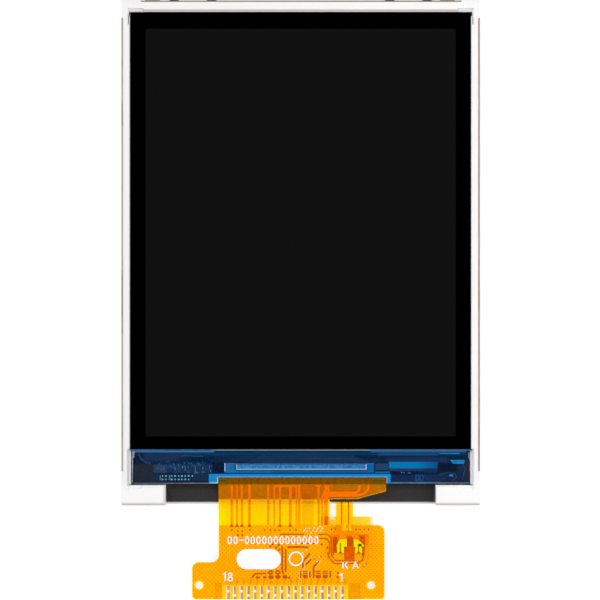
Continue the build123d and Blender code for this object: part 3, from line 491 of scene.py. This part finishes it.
t = Tree("ledge_blue")
drift = t.clouds(0.22, span=(0.35, 0.65), stretch=(0.5, 2.0, 1.0))
colour = t.mix(drift, srgb(8, 25, 52), srgb(14, 43, 72))
streak = t.clouds(0.5, span=(0.52, 0.62), detail=4.0, stretch=(0.25, 1.6, 1.0))
colour = t.mix(t.math("MULTIPLY", streak, 0.35), colour, srgb(36, 58, 100))
ledge_patches = [
    ((2, 64, 110), (130, 447, 472, 455), 0.3, 0.9),
    ((80, 160, 214), (134, 447, 214, 452.3), 0.12, 0.9),
    ((70, 124, 178), (371, 447, 466, 452.4), 0.12, 0.8),
    ((26, 84, 144), (378, 452.4, 438, 455.4), 0.3, 0.7),
    ((38, 48, 80), (141, 454.6, 188, 460), 0.6, 0.9),
    ((0, 29, 62), (178, 457, 214, 464), 0.7, 0.8),
    ((14, 24, 60), (133.5, 453, 144, 464), 0.3, 0.7),
    ((36, 40, 50), (120, 464, 153.5, 490), 0.12, 1.0),
    ((40, 64, 98), (153.8, 464.6, 167, 473), 0.12, 0.9),
    ((22, 54, 96), (167, 464, 212, 473), 0.4, 0.7),
    ((26, 42, 70), (153.5, 474, 209, 490), 0.15, 0.9),
    ((5, 18, 46), (212, 462, 223, 472.6), 0.3, 0.6),
    ((32, 50, 92), (386, 457.6, 448, 462.6), 0.6, 0.8),
    ((4, 20, 56), (390, 471, 438, 475), 0.12, 0.8),
    ((46, 64, 104), (389, 468.6, 426, 471), 0.25, 0.7),
    ((24, 40, 80), (391, 475, 470, 483), 0.2, 0.8),
    ((38, 68, 100), (375.5, 463.5, 388.5, 470), 0.1, 0.9),
    ((50, 44, 50), (465.5, 460, 480, 484), 0.5, 0.9),
    ((28, 34, 62), (440, 475, 468, 484), 0.5, 0.6),
]
colour = t.patches(colour, ledge_patches)
fine = t.clouds(5.0, 0.0, 0.30, span=(0.45, 0.7), detail=4.0, stretch=(1.4, 0.7, 1.0))
colour = t.mix(fine, colour, srgb(32, 74, 112))
colour = t.patch(srgb(14, 24, 44), colour, (438, 464, 457.5, 472), 0.25, 0.85)
# Bright specks on the left part of the ledge, beside the chip
speck = t.clouds(7.0, span=(0.58, 0.66), detail=2.0, stretch=(1.0, 0.45, 1.0))
near = t.zone((156, 462, 213, 473.5), 0.6, 0.5)
colour = t.mix(t.math("MULTIPLY", speck, near), colour, srgb(88, 130, 168))
paint("ledge_coating", t.done(t.gloss(colour, 0.12, specular=0.35, coat=0.2)))

# Bare chip under the coating, blue inside pale edges that are painted highlights

t = Tree("chip_blue")
streaks = t.clouds(2.5, span=(0.35, 0.65), detail=4.0, stretch=(1.6, 0.6, 1.0))
top = t.mix(streaks, srgb(28, 102, 166), srgb(60, 132, 188))
inner = t.zone((236.9, 455.0, 365.4, 468.9), 0.1)
top = t.mix(inner, srgb(168, 184, 208), top)
paint("driver_ic", t.done(t.gloss(top, t.clouds(7.0, 0.25, 0.35))))

# Amber films of the two flex circuits. They scatter less where they are bonded down on the glass.

BODY_TOP = y_of(525)
BOND_TOP = y_of(484.2)
BOND_SOFT = 0.06
NECK_TINT = (1.0, 0.945, 0.04, 1.0)
LAMP_TINT = (1.0, 0.80, 0.03, 1.0)

t = Tree("amber_cover")
cover = film(t, NECK_TINT, AMBER, t.step(t.y, BOND_TOP, BOND_SOFT, 0.10, 0.034))
paint("flex_front_cover", cover)
paint("flex_rear_cover", cover)

t = Tree("amber_base")
in_body = t.step(t.y, BODY_TOP, 0.05, 1.0, 0.0)
tint = t.mix(in_body, NECK_TINT, (1.0, 0.62, 0.03, 1.0))
# Dark film round the finger row. Between the fingers no foil lies on it, and the paper shines through.
tint = t.patch((0.40, 0.16, 0.0, 1.0), tint, (214, 582.6, 361.5, 602))
tint = t.patch((1.0, 0.40, 0.0, 1.0), tint, (222.2, 581.0, 348.3, 586))
tint = t.patch((1.0, 0.52, 0.01, 1.0), tint, (222.2, 584.8, 348.3, 602))
opacity = t.step(t.y, BOND_TOP, BOND_SOFT, 0.32, 0.11)
# Painted sheen: a pale line on the fold where the neck leaves the frame
fold_sheen = t.zone((210, 499.2, 331, 503.6), 0.14)
opacity = t.math("ADD", opacity, t.math("MULTIPLY", fold_sheen, 0.42))
paint("flex_base", film(t, tint, t.mix(fold_sheen, AMBER, (0.92, 0.58, 0.02, 1.0)), opacity))
paint("led_flex", film(Tree("amber_lamp_film"), LAMP_TINT, AMBER, 0.15))
paint("led_flex_cover", film(Tree("amber_lamp_cover"), LAMP_TINT, AMBER, 0.10))

# Cover tape: paler and hazier at both ends, past the tail that it covers
t = Tree("amber_tape")
past = t.zone((353.2, 510, 380, 525), 0.05)
past = t.math("MAXIMUM", past, t.zone((320, 510, 336.4, 525), 0.05))
pale = t.patch((0.98, 0.78, 0.45, 1.0), (0.83, 0.60, 0.03, 1.0), (370, 510, 376, 525), 0.12)
pale = t.patch((0.98, 0.80, 0.48, 1.0), pale, (329.5, 510, 334.5, 519.6), 0.12)
tape_tint = t.mix(past, (1.0, 0.97, 0.02, 1.0), pale)
haze = t.ramp(past, 0.0, 1.0, 0.03, 0.10)
paint("joint_cover_tape", film(t, tape_tint, (0.9, 0.6, 0.02, 1.0), haze))

# Copper foils

MESH_MM = 0.492


def copper_fill(t):
    """Colour of the body's copper: a fine mesh of openings in staggered rows."""
    rows = t.math("MULTIPLY", t.wave(t.math("ADD", t.x, MESH_MM / 4), MESH_MM), t.wave(t.y, MESH_MM))
    dots = t.ramp(rows, -0.1, 0.9)
    contrast = t.clouds(0.28, 0.55, 0.85, span=(0.35, 0.65), detail=2.0)
    fill = t.mix(t.clouds(0.5), (0.93, 0.45, 0.0, 1.0), (0.95, 0.49, 0.01, 1.0))
    return t.mix(t.math("MULTIPLY", dots, contrast), fill, (0.74, 0.19, 0.0, 1.0))


t = Tree("copper_front")
track = t.mix(t.clouds(2.0), (0.92, 0.13, 0.0, 1.0), (0.96, 0.17, 0.0, 1.0))
in_body = t.step(t.y, BODY_TOP, 0.05, 1.0, 0.0)
track = t.patch((0.78, 0.135, 0.0, 1.0), track, (225, 484.4, 322, 499.4), 0.3, 0.6)
colour = t.mix(in_body, track, copper_fill(t))
foil = t.gloss(colour, t.clouds(5.0, 0.4, 0.55), normal=t.bump(t.noise(12.0), 0.001))
# The fine tracks of the neck are narrower than their foil here, and the widest one is a mesh too fine to
# see, so a share of light passes there. None passes where the cover tape lies over them.
NECK_SHARE = 0.42
passed = t.zone((200, 499.6, 330, 525), 0.2, NECK_SHARE)
passed = t.math("SUBTRACT", passed, t.zone((321, 516.6, 330, 526), 0.05, NECK_SHARE))
passed = t.math("MAXIMUM", passed, t.zone((301.5, 480, 314.5, 501), 0.05, 0.62))
passed = t.math("MAXIMUM", passed, t.zone((301.5, 500, 314.5, 525), 0.05, 0.82))
between = t.node("BsdfTransparent", {"Color": (1.0, 0.95, 0.5, 1.0)}).outputs[0]
entering = t.node("MixShader", {0: passed, 1: foil, 2: between}).outputs[0]
paint("flex_front_copper", once_a_film(t, entering))

t = Tree("copper_rear")
bonded = t.step(t.y, y_of(487.6), 0.05)
colour = t.mix(bonded, copper_fill(t), srgb(63, 47, 0))
paint("flex_rear_copper", t.done(t.gloss(colour, 0.45)))

t = Tree("copper_lamp")
thin = t.mix(t.clouds(2.0), (0.80, 0.10, 0.0, 1.0), (0.88, 0.14, 0.01, 1.0))
bare = t.ramp(t.y, y_of(524.6), y_of(523.6), 1.0, 0.0)
paint("led_flex_copper", t.done(t.gloss(t.mix(bare, thin, (1.0, 0.50, 0.0, 1.0)), 0.45)))

# Tin of the fingers in warm tones: a painted highlight along the left edge, brown patches, pale painted
# highlights round the small holes

FINGER_COUNT = 18
FIRST_FINGER_PX = 228.0
FINGER_PITCH = 0.80
UPPER_HOLES = y_of(591.4)
LOWER_HOLES = y_of(595.6)
t = Tree("tin_finish")
count = t.math("DIVIDE", t.math("SUBTRACT", t.x, x_of(FIRST_FINGER_PX)), FINGER_PITCH)
aside = t.math("SUBTRACT", t.math("FRACT", t.math("ADD", count, 0.5)), 0.5)
grain = t.clouds(2.6, span=(0.38, 0.62), stretch=(1.0, 0.5, 1.0))
tin_with_highlights = t.mix(grain, srgb(178, 134, 98), srgb(208, 172, 140))
# Every second hole lies lower
odd = t.math("GREATER_THAN", t.math("FRACT", t.math("ADD", t.math("MULTIPLY", count, 0.5), 0.25)), 0.5)
hole_y = t.math("ADD", UPPER_HOLES, t.math("MULTIPLY", odd, LOWER_HOLES - UPPER_HOLES))
far = t.math("ABSOLUTE", t.math("SUBTRACT", t.y, hole_y))
tin_with_highlights = t.mix(t.ramp(far, 0.12, 0.22, 0.4, 0.0), tin_with_highlights, srgb(236, 220, 198))
tin_with_highlights = t.mix(t.ramp(aside, -0.15, -0.08, 0.95, 0.0), tin_with_highlights, srgb(252, 245, 224))
paint("solder_fingers", t.done(t.gloss(tin_with_highlights, t.clouds(8.0, 0.35, 0.5), metallic=0.1)))

# Solder, painted near white for its shine but dark in its seams, and wetted only up to a slanting line


def solder(node, name, seams, corner, slope, dark_spots=()):
    """Looks of a joint. The line goes through the corner, and shifts across by slope for each step down."""
    t = Tree(name)
    # Painted shine: near white, for the light that the solder reflects
    bright = t.mix(t.clouds(3.0), srgb(255, 236, 200), srgb(255, 246, 225))
    for box in seams:
        bright = t.patch(srgb(112, 100, 50), bright, box, 0.08, 0.8)
    aside = t.math("SUBTRACT", t.x, at(*corner)[0])
    above = t.math("SUBTRACT", t.y, at(*corner)[1])
    if slope < 0:
        aside = t.math("MULTIPLY", aside, -1.0)
    past = t.math("ADD", aside, t.math("MULTIPLY", above, abs(slope)))
    bright = t.mix(t.ramp(past, -0.04, 0.04), bright, srgb(222, 92, 0))
    bright = t.patches(bright, dark_spots)
    paint(node, t.done(t.gloss(bright, 0.35, normal=t.bump(t.noise(5.0), 0.004), metallic=0.1)))


seams_k = ((339.7, 543, 341.0, 556), (338.6, 552, 342.2, 556))
seams_a = ((357.9, 545, 359.1, 556), (357, 551.8, 360.4, 556))
# Near-black and brown spots on joint A
dark_spots_a = [
    ((30, 24, 20), (358.4, 543.9, 361.6, 546.4), 0.1, 0.95),
    ((90, 60, 20), (361.2, 546.2, 363.4, 548), 0.1, 0.8),
]
solder("solder_joint_k", "solder_k", seams_k, (339.5, 539), -0.43)
solder("solder_joint_a", "solder_a", seams_a, (357.0, 538.8), 1.08, dark_spots_a)

# Circuits that show through the coating of the ledge

ledge_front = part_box("ledge_coating")[1].z


def on_ledge(name, shapes, layer, material):
    """Marks in one of the layers that lie on the coating."""
    plates(name, shapes, ledge_front + layer * PLATE, material)


def striped(name, pitch, ground, stripe):
    """Tree and colour of fine tracks that run side by side up the picture."""
    t = Tree(name)
    lines = t.ramp(t.wave(t.x, pitch), -1.0, 1.0)
    return t, t.mix(t.math("MULTIPLY", lines, 0.4), srgb(*ground), srgb(*stripe))


# Land of the chip, a weave of tracks, and that of the flex's bond below it
t = Tree("pad_blue")
weave = t.math("ADD", t.math("MULTIPLY", t.wave(t.x, 0.23), 0.5), t.wave(t.y, 0.17))
colour = t.mix(t.ramp(weave, -1.2, 1.2), srgb(0, 88, 150), srgb(8, 108, 172))
colour = t.patches(colour, [
    ((36, 104, 158), (224, 463, 235.4, 471), 0.1, 0.8),
    ((8, 122, 196), (226, 470.2, 271, 473), 0.6, 0.7),
])
pad_blue = t.done(t.gloss(colour, 0.25, specular=0.3))
chip_land = rect(224.4, 463.2, 373.9, 472.9) + rect(235.2, 464.0, 367.2, 470.2)
on_ledge("chip_land", [chip_land], 0, pad_blue)

t, colour = striped("bond_blue", 0.25, (0, 128, 200), (50, 152, 210))
colour = t.mix(t.ramp(t.y, y_of(474.6), y_of(473.6)), colour, srgb(0, 92, 156))
bond_blue = t.done(t.gloss(colour, 0.25, specular=0.3))
around = [
    (208.8, 473.9), (390.8, 473.9), (390.8, 483.4), (386.6, 483.4),
    (386.6, 477.2), (217.9, 477.2), (217.9, 483.4), (208.8, 483.4),
]
on_ledge("bond_land", [[around]], 1, bond_blue)

trims = [
    rect(224.4, 463.2, 225.4, 471.4),
    rect(209.2, 482.3, 217.0, 483.4),
    rect(218.4, 476.8, 386.4, 477.3),
    rect(217.0, 476.8, 218.2, 483.4),
    rect(386.6, 476.8, 387.3, 483.4),
]
on_ledge("land_edges", trims, 2, tone("edge_pale", 160, 180, 208, 14))
on_ledge("land_rim", [rect(225.4, 463.2, 373.9, 463.8)], 2, tone("rim_blue", 64, 100, 160))

# Test field to the left: two rows of dots, two bars and the dark ground between them
DOT_X = (162.5, 165.9, 171.6, 175.1, 178.8, 181.8, 185.3, 188.7, 192.3)
DOT_HALF_WIDTHS = (0.6, 0.85)
DOT_HALF_HEIGHT = 0.75
dots = []
for row, py in enumerate((476.0, 479.4)):
    for k, px in enumerate(DOT_X[: len(DOT_X) - row]):
        half = DOT_HALF_WIDTHS[(k + row) % 2]
        dots.append(rect(px - half, py - DOT_HALF_HEIGHT, px + half, py + DOT_HALF_HEIGHT))
on_ledge("test_dots", dots, 1, tone("dot_cyan", 74, 166, 206, 22))
bars = [rect(159.6, 475.4, 160.8, 480.2), rect(168.9, 475.2, 170.1, 480.2)]
on_ledge("test_bars", bars, 1, tone("bar_grey", 90, 106, 116))
dark_lines = [
    rect(161.4, 474.2, 169.2, 474.9),
    rect(170.8, 474.2, 194, 474.9),
    rect(161.4, 477.2, 168.4, 478.2),
    rect(170.8, 477.2, 194, 478.2),
    rect(153.6, 473.2, 209, 473.8),
    rect(160, 480.9, 209, 481.7),
]
on_ledge("test_ground", dark_lines, 0, tone("ground_dark", 12, 18, 34, 5))

# Shift circuits to the right of the chip
t, colour = striped("patch_cyan", 0.27, (0, 121, 182), (6, 98, 152))
colour = t.mix(t.ramp(t.x, x_of(412), x_of(440), 0.0, 0.75), colour, srgb(10, 60, 110))
patch_cyan = t.done(t.gloss(colour, 0.25, specular=0.3))
on_ledge("shift_patches", [rect(389.0, 461.9, 437.5, 468.4), rect(375.4, 471.7, 389.6, 472.9)], 0, patch_cyan)
bright_bits = [
    [[(450, 460), (464.5, 459.7), (464.5, 463.9), (453, 463.9)]],
    rect(439, 452.9, 460, 454.1),
    rect(449.4, 474.4, 453.2, 476.4),
]
on_ledge("shift_ends", bright_bits, 0, tone("end_cyan", 2, 120, 180, 14))
dim = [rect(424, 469.0, 437.5, 473.0), rect(424, 474.5, 449, 476.4)]
on_ledge("shift_shade", dim, 0, tone("shade_blue", 0, 38, 78, 5))

# Front edge of the rear glass, seen through the coating
on_ledge("ledge_front_line", [rect(391.3, 482.1, 440, 483.4)], 1, tone("line_blue", 76, 110, 140))
front_ends = [rect(440, 482.5, 469.5, 483.4), rect(134, 483.0, 184, 483.7), rect(184, 482.8, 208.6, 483.7)]
on_ledge("ledge_front_ends", front_ends, 1, tone("line_grey", 108, 114, 126))

outlines = []
for left, right in ((415.6, 418.8), (419.6, 423.4)):
    outlines.append(rect(left, 474.8, right, 480.6) + rect(left + 0.7, 475.5, right - 0.7, 479.9))
on_ledge("shift_outlines", outlines, 0, tone("outline_blue", 10, 84, 146))
# Painted reflection: a wedge of light on the coating above the chip
wedge = [(262, 455.2), (352, 455.2), (371, 462.6), (247, 462.6)]
on_ledge("ledge_wedge", [[wedge]], 0, tone("wedge_teal", 0, 46, 78, 4))

# Light on the folds of the coating
FLECK_HALF = 0.45
glints = [
    ribbon([(138.4, 453.8), (141.2, 459.2), (145.5, 462.2), (151, 463.4)], 1.8),
    ribbon([(306, 458.6), (318, 458.3), (349, 458.8), (360, 461.6)], 0.8),
    ribbon([(180, 456.4), (186, 455.6), (203, 456.6)], 1.0),
    ribbon([(440, 474.2), (449, 472.4), (455.6, 474.2), (456.6, 477), (452, 481)], 0.9),
    ribbon([(463.5, 464.8), (465.3, 469), (463.6, 474), (462.6, 480)], 0.9),
    rect(425, 478.6, 446, 479.1),
]
on_ledge("ledge_glints", glints, 1, tone("glint_blue", 42, 54, 92, 6))
flecks = []
for px, top, bottom in ((175.2, 467.6, 470.4), (185.2, 466, 470.8), (182.6, 465.8, 468.4), (195.4, 467, 472)):
    flecks.append(rect(px - FLECK_HALF, top, px + FLECK_HALF, bottom))
flecks += [
    rect(202.2, 467.2, 203.4, 468.8),
    rect(194.2, 472.6, 198.2, 473.4),
    rect(401, 471.8, 402.2, 473),
    rect(403.6, 472, 404.6, 473.2),
    rect(408, 472.6, 411, 473.4),
]
on_ledge("ledge_flecks", flecks, 1, tone("fleck_pale", 80, 98, 126, 12))

# Painted highlights on the edges of the glass at both sides of the ledge

light_edges = [
    [[(131.6, 450.4), (134.6, 450.4), (134.2, 457.4), (133.0, 458), (132.6, 482.6), (131.7, 482.6)]],
    [[(468.6, 452.6), (470.4, 452.6), (470.4, 474), (469.6, 470), (470.0, 462), (468.4, 457)]],
]
edge_white = tone("edge_white", 158, 157, 162, 16)
plates("glass_glints", light_edges, ledge_front + 2 * PLATE, edge_white)
rear_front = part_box("rear_glass")[1].z
margins = [rect(130.2, 451.2, 130.9, 482.8), rect(470.4, 451.2, 471.0, 482.8)]
plates("glass_margins", margins, rear_front, tone("margin_pale", 204, 202, 208))

# Pale plates with the light that fills the slopes between the frame and the cell painted on; the upper plate
# at the left side is painted greyer, as shade

SLOPE_SHARE = 0.6
cell_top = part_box("front_glass")[1].z
slope_z = rear_front + SLOPE_SHARE * (cell_top - rear_front)
rim_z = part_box("front_polarizer")[1].z - PLATE
slope_white = tone("slope_white", 236, 235, 240, 6)
slope_grey = tone("slope_grey", 200, 196, 198)
slopes = [rect(128.6, 449.6, 130.9, 484.4), rect(470.3, 449.6, 472.4, 484.4)]
plates("pocket_slopes", slopes, slope_z, slope_white)
plates("side_slope_left", [rect(128.8, 16, 129.9, 448.8)], rim_z, slope_grey)
plates("side_slope_right", [rect(471.15, 16, 472.3, 448.8)], rim_z, slope_white)

# Marks of the flex circuit on its upper flat part, over the bond

flex_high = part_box("flex_front_cover")[1].z
marks = [
    rect(219.6, 478.2, 227, 480.1),
    rect(219.6, 481.5, 227.6, 484.0),
    rect(372, 478.4, 385, 480.0),
    rect(374, 482.0, 384.5, 484.0),
]
green = plain("film_green", srgb(62, 88, 0), srgb(112, 92, 0), 4.0, (0.3, 0.4))
plates("bond_marks", marks, flex_high, green)
flare = [(313.8, 485.2), (321.2, 485.2), (319.9, 487.3), (317.4, 487.3)]
plates("track_flare", [[flare]], flex_high, tone("flare_orange", 255, 118, 0, 5))

# Golden edge of the wing, which lies on the bend

NECK_X = x_of(255) * MM
RAY_START = 0.01
cover_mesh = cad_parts["flex_front_cover"].data
cover_points = [vertex.co for vertex in cover_mesh.vertices]
cover_tree = BVHTree.FromPolygons(cover_points, [face.vertices for face in cover_mesh.polygons])


def cover_front(y):
    """Height of the cover's front face, which changes along y only."""
    return cover_tree.ray_cast(Vector((NECK_X, y, RAY_START)), Vector((0, 0, -1)))[0].z


wing_line = [
    (331.0, 499.9), (332.4, 498.8), (345, 498.75), (357.8, 498.7),
    (365, 496.5), (372, 494.4), (386.2, 490.3),
]
wing_gold = tone("wing_gold", 206, 138, 0)
plates("wing_edge", [ribbon(wing_line, 1.0)], cover_front, wing_gold)

# Marks of the flex circuit on its lower flat part

FLAT_BELOW = y_of(530) * MM
flex_low = max(point.z for point in cover_points if point.y < FLAT_BELOW)


def on_flex(name, shapes, layer, material):
    """Marks in one of the layers that lie on the lower flat part."""
    plates(name, shapes, flex_low + layer * PLATE, material)


# Narrow gaps between the tracks of the body, and round openings
gap_orange = tone("gap_orange", 205, 84, 0, 8)
gaps = [
    ribbon([(282.2, 546), (282.2, 570), (283.6, 574.4)], 1.6),
    ribbon([(285.7, 549), (285.7, 572)], 1.5),
    ribbon([(251.8, 577.8), (255.6, 573.6), (266.2, 573.6)], 1.4),
    disc(258.0, 577.5, 2.3, 12, 0.5),
    disc(264.9, 577.5, 1.9, 12, 0.55),
    ribbon([(280, 534.4), (304, 534.4)], 1.2),
    ribbon([(287.4, 547.2), (299, 547.0), (308.5, 547.4)], 1.7),
    ribbon([(300, 543.4), (318, 543.6)], 0.9),
    ribbon([(310, 553.6), (303.2, 561), (302.6, 568)], 1.4),
    ribbon([(311.4, 559.4), (304, 566.6)], 1.3),
    ribbon([(318.6, 561.6), (313.6, 567.2), (313.4, 571)], 1.5),
    rect(299.9, 571, 301.2, 578),
    rect(309.4, 571.4, 310.7, 577.8),
    rect(312.8, 570.6, 314.4, 577.8),
    rect(329.6, 571, 331.0, 577.8),
    disc(321.6, 544.6, 1.2, 10),
    disc(327.3, 547.8, 0.9, 10, 1.8),
    disc(327.6, 553.2, 0.7, 10),
]
for left, right in ((303, 308), (315.8, 320.8), (322.8, 327.8)):
    gaps.append(rect(left, 571.0, right, 572.0))
    gaps.append(rect(left, 573.0, right, 574.0))
    foot = [(right, 577.4), (right - 1.2, 578.4), (left + 1.2, 578.4), (left, 577.4)]
    gaps.append([[(left, 575.0), (right, 575.0)] + foot])
on_flex("copper_gaps", gaps, 0, gap_orange)
spots = [
    ring(270.6, 572.6, 2.5, 1.5, 16, 0.9),
    disc(271.0, 577.2, 2.6, 14, 0.7),
    ring(277.8, 572.4, 2.6, 1.4, 16, 0.9),
    disc(278.0, 577.0, 2.7, 14, 0.8),
    disc(284.9, 577.0, 2.5, 14, 0.7),
    disc(289.2, 577.8, 1.2, 10),
]
SMALL_SPOTS = [(270.2, 546.4), (272.8, 544.4), (276.2, 547.6), (278.8, 545.2), (279.2, 550.0)]
SMALL_SPOTS += [(338.0, 573.0), (337.6, 577.2)]
spots += [disc(px, py, 1.1, 10) for px, py in SMALL_SPOTS]
on_flex("copper_spots", spots, 1, gap_orange)

# Guard lines round the pads of the lamp joints
guards = [
    ribbon([(318, 534.5), (327.6, 534.5), (331.0, 538.0), (331.6, 555.6), (335.7, 560.6), (356, 560.8)], 1.0),
    ribbon([
        (318.6, 538.2), (326.6, 538.8), (329.4, 542.4), (329.6, 551), (328.2, 557),
        (334.4, 563.6), (357.6, 563.6), (362.6, 560), (363.6, 556),
    ], 1.1),
]
on_flex("guard_gaps", guards, 1, gap_orange)

# Pads of the lamp joints, layer by layer
surround = [rect(330.8, 534.4, 368.4, 545.5), rect(331.4, 545.5, 345, 555.5)]
on_flex("pad_surround", surround, 0, tone("pad_orange", 252, 124, 0, 8))
on_flex("pad_neck", [rect(335.4, 525.2, 356.0, 534.4)], 0, tone("neck_gold", 255, 172, 0))
filled = [rect(331.4, 555.5, 368.4, 560.9), rect(345, 545.5, 368.4, 555.5)]
on_flex("pad_fill", filled, 0, tone("pad_gold", 252, 158, 0, 8))
arch = [(345.9, 546.6), (345.9, 538.4), (347.6, 536.4), (351.0, 536.4), (353.6, 539.0), (353.6, 546.6)]
on_flex("pad_arch", [[arch]], 1, tone("pad_shade", 208, 80, 0, 6))
windows = [
    rect(332.8, 537.0, 337.2, 555.0),
    [[(356.6, 535.6), (364.5, 535.6), (364.5, 556), (361.9, 556), (361.9, 547), (358, 541)]],
]
on_flex("pad_windows", windows, 1, tone("pad_red", 208, 72, 0, 8))
on_flex("pad_middle", [rect(344.2, 546.8, 354.6, 560.0)], 2, tone("pad_ember", 224, 84, 0))
feet = [rect(334.0, 553.0, 344.2, 559.6), rect(354.6, 553.0, 361.8, 560.0)]
on_flex("pad_feet", feet, 2, tone("pad_light", 255, 165, 0, 6))

# Bare end of the lamp's tail, with its solder and two legs

tail_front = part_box("led_flex_cover")[1].z
# Solder on the tips of the tail's two tracks, painted near white as glints
left_tip = [
    (341.2, 524.6), (343.2, 524.2), (343.6, 527), (344.2, 524.4),
    (345.8, 524.4), (346.4, 530.8), (341.4, 530.8),
]
right_tip = [(348.2, 524.2), (350.2, 524.2), (352.0, 530.4), (350, 531), (347.0, 530.8)]
tip_solder_glint = plain("tip_solder_glint", srgb(252, 248, 214), srgb(255, 255, 244), 5.0, (0.3, 0.4))
plates("tail_solder", [[left_tip], [right_tip]], tail_front + 2 * PLATE, tip_solder_glint)
tail_gold = tone("tail_orange", 255, 166, 0, 6)
plates("tail_end", [rect(336.2, 524.9, 353.3, 531.8)], tail_front, tail_gold)
legs = [
    [[(340.9, 531), (345.5, 531), (347.0, 539.2), (339.0, 539.2)]],
    [[(347.2, 531), (351.8, 531), (358.4, 536.4), (361.4, 540.6), (354.2, 540.6), (353.4, 536.8)]],
]
plates("tail_legs", legs, tail_front + PLATE, tone("leg_gold", 255, 166, 0, 6))

# Vias, the tapered ends of the neck's tracks, and the lines that fan out to the fingers

vias = [disc(px, 530.2, 0.85, 10) for px in (231.6, 250, 264.6, 270.4, 275.2, 279.5, 290.2, 296)]
for px in (237.8, 242.2):
    vias += [disc(px, 535.2, 0.95, 10), disc(px, 531.0, 0.8, 10)]
vias += [disc(px, 529.3, 0.8, 10) for px in (331.8, 335.8, 356, 360, 364.3, 368.5)]
vias += [disc(px, py, 0.7, 10) for px, py in ((363, 566.5), (366.5, 563.5), (321, 556.5), (314, 559))]
on_flex("via_dots", vias, 0, tone("via_brown", 192, 74, 0))
tears = []
for px in (231.8, 237.0, 241.8, 249.4, 280.0, 290.4):
    tears.append([[(px - 2.1, 527.0), (px + 2.1, 527.0), (px + 0.6, 524.2), (px - 0.6, 524.2)]])
on_flex("track_tears", tears, 0, gap_orange)
fan = []
for k in range(FINGER_COUNT):
    finger = FIRST_FINGER_PX + FINGER_PITCH * PIXELS_PER_MM * k
    fan.append(ribbon([(finger + 2.6, 578.6), (finger + 2.6, 582.4), (finger + 1.6, 585.2)], 0.9))
on_flex("fan_lines", fan, 0, tone("fan_orange", 238, 142, 0))
sheen = [
    ribbon([(299.4, 568), (299.4, 576), (298.6, 585)], 0.7),
    ribbon([(302.0, 568), (302.0, 574)], 0.7),
    rect(307.9, 571, 308.9, 577.8),
    ribbon([(312.6, 555), (305, 563.4), (304.6, 570)], 0.8),
    ribbon([(321.6, 560.6), (315.8, 566.8), (315.6, 570)], 0.8),
]
on_flex("light_lines", sheen, 2, tone("sheen_yellow", 255, 216, 90))

# White ink: a pill and a ring, 18 and 1 for the finger row, K and A for the lamp joints

PILL = (258.75, 559.3)
PILL_RADIUS = 10.1
PILL_REACH = 12.2
TURN_STEP = 15
pill = []
for side, start in ((1, -90), (-1, 90)):
    for turn in range(start, start + 180 + TURN_STEP, TURN_STEP):
        angle = math.radians(turn)
        px = PILL[0] + side * PILL_REACH + PILL_RADIUS * math.cos(angle)
        pill.append((px, PILL[1] + PILL_RADIUS * math.sin(angle)))
ink = [
    [pill],
    ring(296.0, 558.9, 7.4, 1.5, 32),
    # 18
    ribbon([(222.8, 574.6), (225.2, 573.0), (225.2, 581.2)], 1.35),
    ring(230.2, 574.9, 2.35, 1.2, 18, 0.95),
    ring(230.2, 579.1, 2.75, 1.2, 18, 0.9),
    # 1
    ribbon([(339.6, 575.4), (341.9, 574.0), (341.9, 581.6)], 1.35),
    # K
    rect(342.3, 562.3, 343.6, 568.8),
    ribbon([(343.6, 566.2), (347.4, 562.4)], 1.25),
    ribbon([(344.9, 564.9), (347.8, 568.8)], 1.25),
    # A
    ribbon([(352.6, 568.8), (355.4, 562.3), (358.2, 568.8)], 1.2),
    rect(353.9, 566.0, 356.9, 567.0),
]
white_ink = plain("ink_white", srgb(250, 250, 250), srgb(255, 255, 255), 3.0, (0.5, 0.6), 0.001)
on_flex("printed_marks", ink, 2, white_ink)

# A row of plain rings and a bar
ROW_START = 229.6
ROW_PITCH = 5.78
ROW_COUNT = 16
BAR_PLACE = 2
blocks = []
for k in range(ROW_COUNT):
    middle = ROW_START + ROW_PITCH * k
    if k == BAR_PLACE:
        blocks.append(rect(middle - 2.2, 539.7, middle + 2.2, 541.0))
    else:
        blocks.append(ring(middle, 540.3, 2.3, 1.25, 20, 1.8))
on_flex("printed_blocks", blocks, 2, white_ink)

# Specks of print
SPECKS = [(303.8, 531.2), (305.6, 528.8), (307.4, 531.4), (309.4, 528.4), (311.0, 533.0), (313.4, 530.8)]
SPECKS += [(314.2, 527.8), (316.4, 531.6), (317.8, 528.8), (320.0, 526.8), (320.8, 531.0), (322.4, 528.4)]
SPECKS += [(306.2, 550.4), (302.6, 552.8), (319.4, 557.0), (317.0, 561.6)]
specks = [disc(px, py, 0.7, 8, 1.2) for px, py in SPECKS]
on_flex("ink_specks", specks, 2, tone("speck_white", 255, 246, 222, 4))
